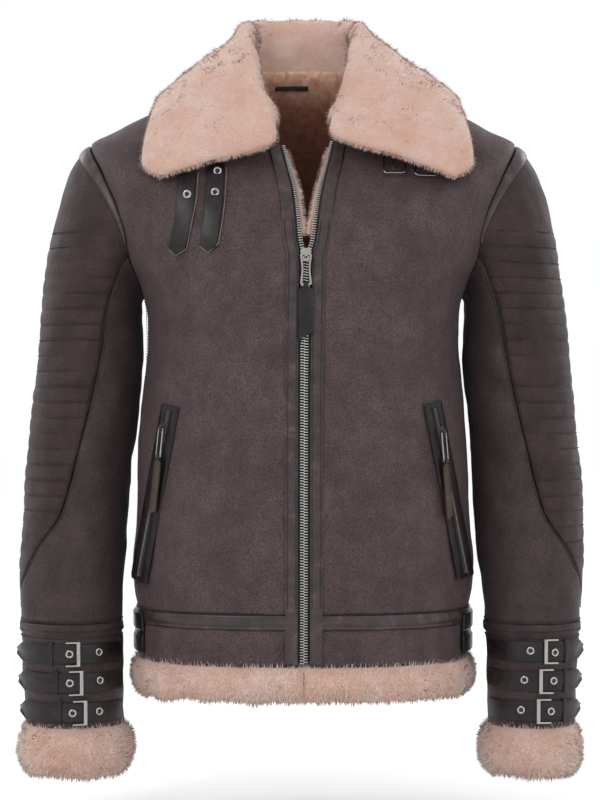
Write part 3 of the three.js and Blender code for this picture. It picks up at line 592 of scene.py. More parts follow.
@dataclass(frozen=True)
class NappedHide:
    """Sheepskin finished on its flesh side: fine pebbled grain, dry, with paler rubbed patches."""

    name: str = "napped_sheepskin"
    deep: str = "382a2d"
    ground: str = "433336"
    rubbed: str = "524042"
    grain_mm: float = 1.6  # drawn coarser than the real 0.8 mm, to show at this distance
    crackle_mm: float = 5.0

    def build(self) -> bpy.types.Material:
        """Draws the material up.

        Returns:
            The material.
        """
        s = Shader(self.name)
        pebbles = {"Scale": per(self.grain_mm), "Detail": 4, "Roughness": 0.62}
        grain = s.add(NOISE, pebbles, Vector=s.place)
        mottle = s.add(NOISE, {"Scale": per(38), "Detail": 5, "Roughness": 0.6}, Vector=s.place)
        stretch = tuple(share * per(16) for share in (1.6, 1.6, 0.7))
        drawn = s.add("ShaderNodeMapping", {"Scale": stretch}, Vector=s.place)
        streaks = s.add(NOISE, {"Scale": 1.0, "Detail": 4, "Distortion": 0.6}, Vector=drawn)
        worn = s.add(MIX, {**MULTIPLY, 0: 0.5}, in6=mottle, in7=streaks).outputs[2]
        tones = [(0.12, self.deep), (0.3, self.ground), (0.52, self.rubbed)]
        patches = s.add(RAMP, {"stops": tones}, in0=worn)
        pits = s.add(RAMP, {"stops": [(0.38, 0.22), (0.6, 1.0)]}, in0=grain)
        colour = s.add(MIX, {**MULTIPLY, 0: 0.8}, in6=patches, in7=pits).outputs[2]
        cells = s.add(
            "ShaderNodeTexVoronoi",
            {"feature": "DISTANCE_TO_EDGE", "Scale": per(self.crackle_mm)},
            Vector=s.place,
        )
        crackle = s.add(RAMP, {"stops": [(0.0, 0.0), (0.16, 1.0)]}, in0=cells.outputs["Distance"])
        relief = s.add(BUMP, {"Distance": 0.6 * MM}, Height=grain)
        relief = s.add(BUMP, {"Distance": 0.1 * MM}, Height=crackle, Normal=relief)
        lumps = s.add(NOISE, {"Scale": per(11), "Detail": 3}, Vector=s.place)
        relief = s.add(BUMP, {"Distance": 0.5 * MM}, Height=lumps, Normal=relief)
        rough = s.add(RAMP, {"stops": [(0.1, 0.74), (0.5, 0.56)]}, in0=worn)
        fixed = {"Specular_IOR_Level": 0.3, "Sheen_Weight": 0.05, "Sheen_Roughness": 0.5}
        return s.finish(colour, rough, relief, **fixed)


@dataclass(frozen=True)
class SmoothLeather:
    """Finished nappa of the trim: close fine grain with a low waxed shine."""

    name: str = "smooth_trim_leather"
    deep: str = "231819"
    ground: str = "36282a"
    rubbed: str = "5a494b"
    grain_mm: float = 1.1
    roughness: float = 0.33
    shine: float = 0.4

    def build(self) -> bpy.types.Material:
        """Draws the material up.

        Returns:
            The material.
        """
        s = Shader(self.name)
        grain = s.add(NOISE, {"Scale": per(self.grain_mm), "Detail": 3}, Vector=s.place)
        wear = s.add(NOISE, {"Scale": per(14), "Detail": 5, "Roughness": 0.65}, Vector=s.place)
        tones = [(0.3, self.deep), (0.55, self.ground), (0.78, self.rubbed)]
        body = s.add(RAMP, {"stops": tones}, in0=wear)
        pores = s.add(RAMP, {"stops": [(0.3, 0.7), (0.7, 1.0)]}, in0=grain)
        colour = s.add(MIX, {**MULTIPLY, 0: 0.5}, in6=body, in7=pores).outputs[2]
        relief = s.add(BUMP, {"Distance": 0.16 * MM}, Height=grain)
        lumps = s.add(NOISE, {"Scale": per(6), "Detail": 3}, Vector=s.place)
        relief = s.add(BUMP, {"Distance": 0.3 * MM}, Height=lumps, Normal=relief)
        waxed = [(0.3, self.roughness - 0.06), (0.75, self.roughness + 0.12)]
        rough = s.add(RAMP, {"stops": waxed}, in0=wear)
        fixed = {"Specular_IOR_Level": self.shine, "Coat_Weight": 0.04, "Coat_Roughness": 0.3}
        return s.finish(colour, rough, relief, **fixed)


@dataclass(frozen=True)
class SheepsWool:
    """Shorn sheep's wool: matt and soft, with painted shade that darkens it toward the roots and between
    the locks, pale at their tips.
    """

    name: str
    # root, middle and tip: the pile's tones; the darker ones are painted shade deep in the pile
    root: str = "b4978b"
    middle: str = "bb9f94"
    tip: str = "c3a99f"
    on_locks: bool = False
    deepens: tuple[float, ...] = ()  # two heights in millimetres between which it darkens downward, painted shade deep inside the jacket

    def build(self) -> bpy.types.Material:
        """Draws the material up.

        Returns:
            The material.
        """
        s = Shader(self.name)
        clumps = s.add(NOISE, {"Scale": per(9), "Detail": 4, "Distortion": 0.8}, Vector=s.place)
        wide = s.add(NOISE, {"Scale": per(42), "Detail": 3}, Vector=s.place)
        # Painted shade: along a lock the tones darken toward its root, and on the skin toward the hollows
        # between the clumps, where the pile would shade itself
        if self.on_locks:
            along = s.add("ShaderNodeUVMap", {"uv_map": "lock"})
            height = s.add("ShaderNodeSeparateXYZ", in0=along).outputs["Y"]
            tones = [(0.0, self.root), (0.45, self.middle), (1.0, self.tip)]
        else:
            height = clumps
            tones = [(0.3, self.root), (0.5, self.middle), (0.72, self.tip)]
        shade = s.add(RAMP, {"stops": tones}, in0=height)
        warmth = s.add(RAMP, {"stops": [(0.3, "f1dccd"), (0.7, "ffffff")]}, in0=wide)
        colour = s.add(MIX, {**MULTIPLY, 0: 0.8}, in6=shade, in7=warmth).outputs[2]
        # Painted shade: below the upper height the wool grows darker, darkest at the lower one, as the
        # inside of the jacket lies in shadow
        if self.deepens:
            low, high = (level * MM for level in self.deepens)
            level = s.add("ShaderNodeSeparateXYZ", in0=s.place).outputs["Z"]
            shade_height = s.add("ShaderNodeMapRange", {"From Min": low, "From Max": high}, Value=level)
            tones = [(0.0, "8f6b5a"), (0.5, "a07e6d"), (1.0, "ffffff")]
            painted_shade = s.add(RAMP, {"stops": tones}, in0=shade_height)
            colour = s.add(MIX, {**MULTIPLY, 0: 1.0}, in6=colour, in7=painted_shade).outputs[2]
        curls = s.add(NOISE, {"Scale": per(2.2), "Detail": 4, "Distortion": 1.2}, Vector=s.place)
        relief = s.add(BUMP, {"Distance": 0.5 * MM}, Height=curls)
        relief = s.add(BUMP, {"Distance": 1.2 * MM}, Height=clumps, Normal=relief)
        fixed = {"Specular_IOR_Level": 0.12, "Sheen_Weight": 0.35, "Sheen_Roughness": 0.6}
        return s.finish(colour, 0.95, None if self.on_locks else relief, **fixed)


@dataclass(frozen=True)
class PolishedNickel:
    """Nickel plate on die-cast zinc: a bright mirror with faint rub marks."""

    name: str = "polished_nickel"
    colour: str = "a09e9c"
    roughness: float = 0.16

    def build(self) -> bpy.types.Material:
        """Draws the material up.

        Returns:
            The material.
        """
        s = Shader(self.name)
        rubs = s.add(NOISE, {"Scale": per(3), "Detail": 5, "Roughness": 0.7}, Vector=s.place)
        worn = [(0.3, self.roughness - 0.06), (0.75, self.roughness + 0.16)]
        rough = s.add(RAMP, {"stops": worn}, in0=rubs)
        tint = s.add(RAMP, {"stops": [(0.2, "8f8d8b"), (0.5, self.colour)]}, in0=rubs)
        relief = s.add(BUMP, {"Distance": 0.05 * MM}, Height=rubs)
        return s.finish(tint, rough, relief, Metallic=1.0)


@dataclass(frozen=True)
class ZipTape:
    """Woven polyester tape, dark, with its herringbone drawn coarse enough to show."""

    name: str = "zip_tape"
    thread_mm: float = 1.2

    def build(self) -> bpy.types.Material:
        """Draws the material up.

        Returns:
            The material.
        """
        s = Shader(self.name)
        bands = {"Scale": per(self.thread_mm), "bands_direction": "Z"}
        weave = s.add("ShaderNodeTexWave", bands, Vector=s.place).outputs["Fac"]
        colour = s.add(RAMP, {"stops": [(0.0, "141110"), (1.0, "2c2624")]}, in0=weave)
        relief = s.add(BUMP, {"Distance": 0.15 * MM}, Height=weave)
        return s.finish(colour, 0.85, relief, Sheen_Weight=0.2)


@dataclass(frozen=True)
class WaxedThread:
    """Bonded thread, a shade darker than the leather it sews."""

    name: str = "dark_waxed_thread"
    colour: str = "181213"

    def build(self) -> bpy.types.Material:
        """Draws the material up.

        Returns:
            The material.
        """
        s = Shader(self.name)
        twist = s.add(NOISE, {"Scale": per(0.6), "Detail": 2}, Vector=s.place)
        shade = s.add(RAMP, {"stops": [(0.3, 0.4), (0.7, 1.0)]}, in0=twist)
        colour = s.add(MIX, {**MULTIPLY, 0: 0.4, 6: self.colour}, in7=shade).outputs[2]
        return s.finish(colour, 0.6, None)


@dataclass
class Finishes:
    """Every finish of the jacket, built once."""

    hide: bpy.types.Material = field(default_factory=NappedHide().build)
    ribbed: bpy.types.Material = field(
        default_factory=NappedHide("ribbed_sheepskin", "1f1213", "2b181a", "382325").build
    )
    sleeve: bpy.types.Material = field(
        default_factory=NappedHide("sleeve_sheepskin", "2b1e20", "332527", "403031").build
    )
    trim: bpy.types.Material = field(default_factory=SmoothLeather().build)
    wool: bpy.types.Material = field(default_factory=SheepsWool("wool_under_locks").build)
    locks: bpy.types.Material = field(default_factory=SheepsWool("wool_locks", on_locks=True).build)
    # A darker copy of the locks for the hem and cuffs: painted shade, as they hang low and get less light
    low_locks: bpy.types.Material = field(
        default_factory=SheepsWool(
            "wool_locks_below", "aa9084", "b1988c", "b9a196", on_locks=True
        ).build
    )
    # The lining darkens downward from 20 mm to -75 mm: painted shade inside the jacket
    lining: bpy.types.Material = field(
        default_factory=SheepsWool(
            "wool_lining", "b48f7c", "cfa995", "e2c2b0", deepens=(-75, 20)
        ).build
    )
    nickel: bpy.types.Material = field(default_factory=PolishedNickel().build)
    tape: bpy.types.Material = field(default_factory=ZipTape().build)
    thread: bpy.types.Material = field(default_factory=WaxedThread().build)
    strap: bpy.types.Material = field(
        default_factory=SmoothLeather(
            "strap_leather", "161112", "201a1b", "332b2c", shine=0.24
        ).build
    )
    cut_edge: bpy.types.Material = field(
        default_factory=SmoothLeather("cut_leather_edge", "54443d", "6f5c53", "8b766b").build
    )
    dull_nickel: bpy.types.Material = field(
        default_factory=PolishedNickel("dark_nickel", "6e6a67", 0.34).build
    )
    cord: bpy.types.Material = field(
        default_factory=SmoothLeather("rubbed_pull_leather", "241a17", "38281f", "573f31").build
    )


@dataclass(frozen=True)
class Crease:
    """A soft trough along a curve seen from the front or back, or a ridge if its depth is negative."""

    course: tuple[tuple[float, float], ...]  # X and Z in millimetres
    depth: float
    width: float

    def fall(self, x: Array, z: Array) -> Array:
        """Says how far the leather sinks here, with both ends fading out.

        Args:
            x: Where, in millimetres.
            z: Its height.

        Returns:
            The depth in millimetres.
        """
        knots = np.array(self.course, float)
        at = np.linspace(0, len(knots) - 1, 8 * len(knots))
        smooth = [Profile(range(len(knots)), knots[:, k])(at) for k in (0, 1)]
        best = np.full(x.shape, 1e9)
        along = np.zeros(x.shape)
        for k in range(len(at) - 1):
            ax, az, bx, bz = smooth[0][k], smooth[1][k], smooth[0][k + 1], smooth[1][k + 1]
            dx, dz = bx - ax, bz - az
            t = np.clip(((x - ax) * dx + (z - az) * dz) / max(dx * dx + dz * dz, 1e-9), 0, 1)
            d = np.hypot(x - ax - t * dx, z - az - t * dz)
            nearer = d < best
            best = np.where(nearer, d, best)
            along = np.where(nearer, (k + t) / (len(at) - 1), along)
        ends = np.sin(np.pi * np.clip(along, 0.02, 0.98)) ** 0.6
        return self.depth * ends * np.exp(-((best / self.width) ** 2))


def unevenness(points: Array, spot: float, height: float, seed: float = 0.0) -> Array:
    """Gives slow natural waves in a surface.

    Args:
        points: Where, in millimetres.
        spot: Size of a wave.
        height: Its height.
        seed: Shifts the pattern.

    Returns:
        Heights in millimetres.
    """
    return height * np.array([noise.noise(Vector(p) / spot + Vector((seed, 0, 0))) for p in points])


Relief = Callable[[Array, Array, Array], Array]
Limits = Callable[[Array], tuple[Array, Array]]


@dataclass
class Sheet:
    """A piece cut from one surface: a grid laid on it, moved out by its relief and given a wall.

    Attributes:
        name: The piece's name.
        surface: Finds the points for places across and along.
        across: The two ends across, where limits doesn't give them.
        along: The two ends along.
        cells: Number of cells each way.
        materials: The outer finish, and the inner one if there is one.
        limits: Gives the two ends across for places along.
        relief: Gives how far each point stands out, in millimetres.
        wall: Thickness, in millimetres.
        lift: How far the whole piece stands out.
        outward: X and Y of the line down the piece's hollow, in millimetres.
        held: How the cloth is held; not used.
    """

    name: str
    surface: Surface
    across: tuple[float, float]
    along: tuple[float, float]
    cells: tuple[int, int]
    materials: Sequence[bpy.types.Material]
    limits: Limits | None = None
    relief: Relief | None = None
    wall: float = WALL
    lift: float = 0.0
    outward: Vector = field(default_factory=lambda: Vector((0, 0, -380)))
    held: str = "hung"

    def flat_cut(self) -> tuple[float, float, float]:
        """Measures the cut that the surface needs.

        Returns:
            Its greatest width and length and its area, in metres.
        """
        u, v = np.meshgrid(np.linspace(0, 1, 49), np.linspace(*self.along, 49))
        low, high = self.limits(v.ravel()) if self.limits else self.across
        spread_u = low + (high - low) * u.ravel()
        grid = self.surface(spread_u, v.ravel()).reshape(49, 49, 3) * MM
        right, down = grid[:-1, 1:] - grid[:-1, :-1], grid[1:, :-1] - grid[:-1, :-1]
        width = float(np.linalg.norm(np.diff(grid, axis=1), axis=2).sum(axis=1).max())
        length = float(np.linalg.norm(np.diff(grid, axis=0), axis=2).sum(axis=0).max())
        area = float(np.linalg.norm(np.cross(right, down), axis=2).sum())
        return width, length, min(area, width * length)

    def build(self) -> bpy.types.Object:
        """Makes the piece.

        Returns:
            Its object, at the origin, with its place in its mesh.
        """
        bm = bmesh.new()
        bmesh.ops.create_grid(bm, x_segments=self.cells[0], y_segments=self.cells[1], size=0.5)
        share = np.array([v.co[:2] for v in bm.verts]) + 0.5
        v = self.along[0] + (self.along[1] - self.along[0]) * share[:, 1]
        if self.limits:
            low, high = self.limits(v)
            u = low + (high - low) * share[:, 0]
        else:
            u = self.across[0] + (self.across[1] - self.across[0]) * share[:, 0]
        points = self.surface(u, v)
        for vert, p in zip(bm.verts, points):
            vert.co = p * MM
        self._mark_cloth(bm, share)
        self._face_out(bm)
        if self.relief is not None:
            heights = self.relief(u, v, points) + self.lift
            for vert, height in zip(list(bm.verts), heights):
                vert.co += vert.normal * float(height) * MM
        elif self.lift:
            for vert in bm.verts:
                vert.co += vert.normal * self.lift * MM
        return self._dress(bm)

    def _mark_cloth(self, bm: bmesh.types.BMesh, share: Array) -> None:
        """Writes where each corner lies on the cloth into a UV map, across and along.

        Args:
            bm: The piece's mesh.
            share: Where each corner lies, from 0 to 1 both ways.
        """
        layer = bm.loops.layers.uv.new("cloth")
        bm.verts.index_update()
        for face in bm.faces:
            for loop in face.loops:
                loop[layer].uv = share[loop.vert.index]

    def _face_out(self, bm: bmesh.types.BMesh) -> None:
        """Turns the faces round where they look at the line through the piece's hollow.

        Args:
            bm: The piece's mesh.
        """
        bm.normal_update()
        axis = self.outward * MM
        facing = 0.0
        for face in bm.faces:
            centre = face.calc_center_median()
            facing += face.normal.dot(centre - Vector((axis.x, axis.y, centre.z))) * face.calc_area()
        if facing < 0:
            bmesh.ops.reverse_faces(bm, faces=bm.faces)
            bm.normal_update()

    def _dress(self, bm: bmesh.types.BMesh) -> bpy.types.Object:
        """Turns the mesh into an object with its wall and materials.

        Args:
            bm: The piece's mesh, which this frees.

        Returns:
            The object.
        """
        piece = to_object(self.name, bm, self.materials)
        if self.wall:
            wall = piece.modifiers.new("wall", "SOLIDIFY")
            wall.thickness = self.wall * MM
            wall.offset = -1
            wall.use_even_offset = False
            wall.material_offset = min(1, len(self.materials) - 1)
        width, length, area = self.flat_cut()
        size = (width / MM, length / MM, area)
        log.info("%s: cut %.0f x %.0f mm, %.4f square metres", self.name, *size)
        return piece


def to_object(
    name: str, bm: bmesh.types.BMesh, materials: Sequence[bpy.types.Material]
) -> bpy.types.Object:
    """Frees a bmesh into a smooth-shaded object.

    Args:
        name: The piece's name.
        bm: Its mesh, in metres, where it belongs.
        materials: What it is made of.

    Returns:
        The object, linked into the scene.
    """
    mesh = bpy.data.meshes.new(name)
    bm.to_mesh(mesh)
    bm.free()
    mesh.shade_smooth()
    for material in materials:
        mesh.materials.append(material)
    piece = bpy.data.objects.new(name, mesh)
    bpy.context.scene.collection.objects.link(piece)
    return piece


def settle(piece: bpy.types.Object, body: str, slot: str, *replaced: str) -> bpy.types.Object:
    """Hangs a piece on its body and hides the solids that it stands for.

    Args:
        piece: The piece.
        body: The body that carries it.
        slot: The record's material slot; not used.
        *replaced: The solids that it stands for.

    Returns:
        The piece.
    """
    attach(piece, body)
    if replaced:
        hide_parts(*replaced)
    return piece


def applied(piece: bpy.types.Object) -> bpy.types.Object:
    """Replaces a piece's mesh by what its modifiers make of it.

    Args:
        piece: The piece, changed in place.

    Returns:
        The same piece.
    """
    graph = bpy.context.evaluated_depsgraph_get()
    mesh = bpy.data.meshes.new_from_object(piece.evaluated_get(graph))
    old = piece.data
    piece.modifiers.clear()
    piece.data = mesh
    bpy.data.meshes.remove(old)
    return piece


def wire(
    name: str, points: Sequence[Vector], radius: float, material: bpy.types.Material
) -> bpy.types.Object:
    """Makes a round wire through points.

    Args:
        name: The piece's name.
        points: Its course, in millimetres.
        radius: Its radius.
        material: Its finish.

    Returns:
        The object, as a mesh.
    """
    curve = bpy.data.curves.new(name, "CURVE")
    curve.dimensions = "3D"
    curve.bevel_depth = radius * MM
    curve.bevel_resolution = 3
    curve.use_fill_caps = True
    spline = curve.splines.new("POLY")
    spline.points.add(len(points) - 1)
    for point, place in zip(spline.points, points):
        point.co = (*[c * MM for c in place], 1)
    drawn = bpy.data.objects.new(name + "_course", curve)
    bpy.context.scene.collection.objects.link(drawn)
    graph = bpy.context.evaluated_depsgraph_get()
    mesh = bpy.data.meshes.new_from_object(drawn.evaluated_get(graph))
    bpy.data.objects.remove(drawn)
    bpy.data.curves.remove(curve)
    mesh.name = name
    mesh.shade_smooth()
    mesh.materials.clear()
    mesh.materials.append(material)
    piece = bpy.data.objects.new(name, mesh)
    bpy.context.scene.collection.objects.link(piece)
    return piece


def setting(point: Vector, up: Vector, away: Vector) -> Matrix:
    """Makes the matrix that sets a flat piece on the jacket.

    Args:
        point: Where its origin goes, in millimetres.
        up: The way of its Y.
        away: The way of its Z, straightened against up.

    Returns:
        The matrix, in metres, for a piece drawn in millimetres.
    """
    y = up.normalized()
    x = y.cross(away).normalized()
    z = x.cross(y)
    turned = Matrix((x, y, z)).transposed().to_4x4()
    return Matrix.Translation(point * MM) @ turned @ Matrix.Scale(MM, 4)


FaceTest = Callable[[bmesh.types.BMFace], bool]


def above(height: float) -> FaceTest:
    """Makes a test for faces whose middle lies over a height in millimetres."""
    return lambda face: face.calc_center_median().z > height * MM


@dataclass
class Locks:
    """Locks of wool grown on a surface: thin bent blades set on it at random and combed one way."""

    count: int
    length: float = 5.0
    width: float = 1.05
    comb: tuple[float, float, float] = (0.0, -0.1, -0.6)
    lift: float = 0.5  # how far they stand off the skin, against the comb
    swirl: float = 1.1  # how far neighbours turn aside together
    wave: float = 13.0  # size of such a turn, in millimetres
    stray: float = 0.2  # how far each strays by itself
    sizes: tuple[float, float] = (0.65, 1.25)
    bends: tuple[float, ...] = (0.0, 0.12, 0.24)  # one pattern each, as shares of the length
    shade: float = 0.06  # how far a lock's own direction turns its shading
    seed: int = SEED

    def _blade(self, bend: float, material: bpy.types.Material) -> bpy.types.Object:
        """Makes one lock, rooted at the origin and pointing up its Z.

        Args:
            bend: How far its tip leans, as a share of its length.
            material: The wool.

        Returns:
            The lock.
        """
        bm = bmesh.new()
        bmesh.ops.create_grid(bm, x_segments=1, y_segments=2, size=0.5)
        layer = bm.loops.layers.uv.new("lock")
        for face in bm.faces:
            for loop in face.loops:
                loop[layer].uv = (loop.vert.co.x + 0.5, loop.vert.co.y + 0.5)
        for vert in bm.verts:
            along = vert.co.y + 0.5
            taper = 1 - 0.88 * along**1.6
            across = vert.co.x * self.width * taper
            lean = bend * self.length * along**2
            vert.co = Vector((across, lean, self.length * along)) * MM
        tip = [vert for vert in bm.verts if vert.co.z > 0.9 * self.length * MM]
        bmesh.ops.pointmerge(bm, verts=tip, merge_co=(tip[0].co + tip[1].co) / 2)
        bmesh.ops.reverse_faces(bm, faces=bm.faces)
        return to_object("lock", bm, [material])

    def _tree(self, blades: Sequence[bpy.types.Object], density: float) -> bpy.types.NodeTree:
        """Draws up the nodes that scatter, comb and join the locks.

        Args:
            blades: The patterns to copy.
            density: Locks to a square metre.

        Returns:
            The tree.
        """
        tree = bpy.data.node_groups.new("grow_locks", "GeometryNodeTree")
        for way in ("INPUT", "OUTPUT"):
            tree.interface.new_socket("Geometry", in_out=way, socket_type="NodeSocketGeometry")

        node = partial(add_node, tree)
        scatter = node(
            "GeometryNodeDistributePointsOnFaces",
            {"Density": density, "Seed": self.seed},
            Mesh=node("NodeGroupInput").outputs[0],
        )
        normal = scatter.outputs["Normal"]
        waves = node("ShaderNodeTexNoise", {"Scale": 1 / (self.wave * MM), "Detail": 3.0})
        centred = node(
            "ShaderNodeVectorMath",
            {"operation": "SUBTRACT", 1: (0.5, 0.5, 0.5)},
            in0=waves.outputs["Color"],
        )
        swirl = node(
            "ShaderNodeVectorMath",
            {"operation": "SCALE", "Scale": self.swirl},
            in0=centred.outputs[0],
        )
        stray = node(
            "FunctionNodeRandomValue",
            {
                "data_type": "FLOAT_VECTOR",
                0: (-self.stray,) * 3,
                1: (self.stray,) * 3,
                "Seed": self.seed + 1,
            },
        )
        out = node("ShaderNodeVectorMath", {"operation": "SCALE", "Scale": self.lift}, in0=normal)
        lean = node("ShaderNodeVectorMath", {"operation": "ADD", 1: self.comb}, in0=out.outputs[0])
        blown = node(
            "ShaderNodeVectorMath", {"operation": "ADD"}, in0=lean.outputs[0], in1=swirl.outputs[0]
        )
        way = node(
            "ShaderNodeVectorMath", {"operation": "ADD"}, in0=blown.outputs[0], in1=stray.outputs[0]
        )
        along = node("FunctionNodeAlignRotationToVector", {"axis": "Z"}, Vector=way.outputs[0])
        aimed = node(
            "FunctionNodeAlignRotationToVector",
            {"axis": "Y", "pivot_axis": "Z"},
            Rotation=along.outputs[0],
            Vector=normal,
        )
        small, large = self.sizes
        size = node(
            "FunctionNodeRandomValue",
            {"data_type": "FLOAT", 2: small, 3: large, "Seed": self.seed + 2},
        )
        pick = node(
            "FunctionNodeRandomValue",
            {"data_type": "INT", 4: 0, 5: len(blades) - 1, "Seed": self.seed + 3},
        )
        choice = node("GeometryNodeJoinGeometry")
        for blade in blades:
            shown = node("GeometryNodeObjectInfo", {"Object": blade, "As Instance": True})
            tree.links.new(shown.outputs["Geometry"], choice.inputs[0])
        shade = node(
            "ShaderNodeVectorMath",
            {"operation": "SCALE", "Scale": self.shade},
            in0=way.outputs[0],
        )
        soft = node(
            "ShaderNodeVectorMath", {"operation": "ADD"}, in0=shade.outputs[0], in1=normal
        )
        kept = node(
            "GeometryNodeStoreNamedAttribute",
            {"data_type": "FLOAT_VECTOR", "domain": "POINT", "Name": "soft_normal"},
            Geometry=scatter.outputs["Points"],
            Value=soft.outputs[0],
        )
        sown = node(
            "GeometryNodeInstanceOnPoints",
            {"Pick Instance": True},
            Points=kept.outputs[0],
            Instance=choice.outputs[0],
            Instance_Index=pick.outputs[2],
            Rotation=aimed.outputs[0],
            Scale=size.outputs[1],
        )
        joined = node("GeometryNodeRealizeInstances", in0=sown.outputs[0])
        tree.links.new(joined.outputs[0], node("NodeGroupOutput").inputs[0])
        return tree

    def _soften(self, mesh: bpy.types.Mesh) -> None:
        """Shades the locks by the skin that they grow on, so that they read as one pile.

        Args:
            mesh: The joined locks.
        """
        bm = bmesh.new()
        bm.from_mesh(mesh)
        skin = bm.verts.layers.float_vector["soft_normal"]
        turned = [face for face in bm.faces if face.normal.dot(face.verts[0][skin]) < 0]
        bmesh.ops.reverse_faces(bm, faces=turned)
        bm.to_mesh(mesh)
        bm.free()
        kept = mesh.attributes["soft_normal"]
        flat = np.empty(len(mesh.vertices) * 3, np.float32)
        kept.data.foreach_get("vector", flat)
        normals = flat.reshape(-1, 3)
        normals /= np.maximum(np.linalg.norm(normals, axis=1, keepdims=True), 1e-6)
        mesh.normals_split_custom_set_from_vertices(normals)
        mesh.attributes.remove(mesh.attributes["soft_normal"])

    def grow(
        self, name: str, skin: bpy.types.Object, material: bpy.types.Material, keep: FaceTest
    ) -> bpy.types.Object:
        """Grows the locks on part of a piece.

        Args:
            name: The new piece's name.
            skin: The piece that they are rooted on, with its modifiers applied.
            material: The wool.
            keep: Says which of its faces bear locks.

        Returns:
            The locks, as one mesh.
        """
        bm = bmesh.new()
        bm.from_mesh(skin.data)
        bare = [face for face in bm.faces if not keep(face)]
        bmesh.ops.delete(bm, geom=bare, context="FACES")
        piece = to_object(name, bm, [material])
        area = sum(face.area for face in piece.data.polygons)
        blades = [self._blade(bend, material) for bend in self.bends]
        grower = piece.modifiers.new("locks", "NODES")
        grower.node_group = self._tree(blades, self.count / area)
        applied(piece)
        self._soften(piece.data)
        piece.data.materials.clear()
        piece.data.materials.append(material)
        for blade in blades:
            bpy.data.objects.remove(blade)
        # Wool lets light through, so its opaque locks don't shade one another
        piece.visible_shadow = False
        piece.visible_diffuse = False
        return piece


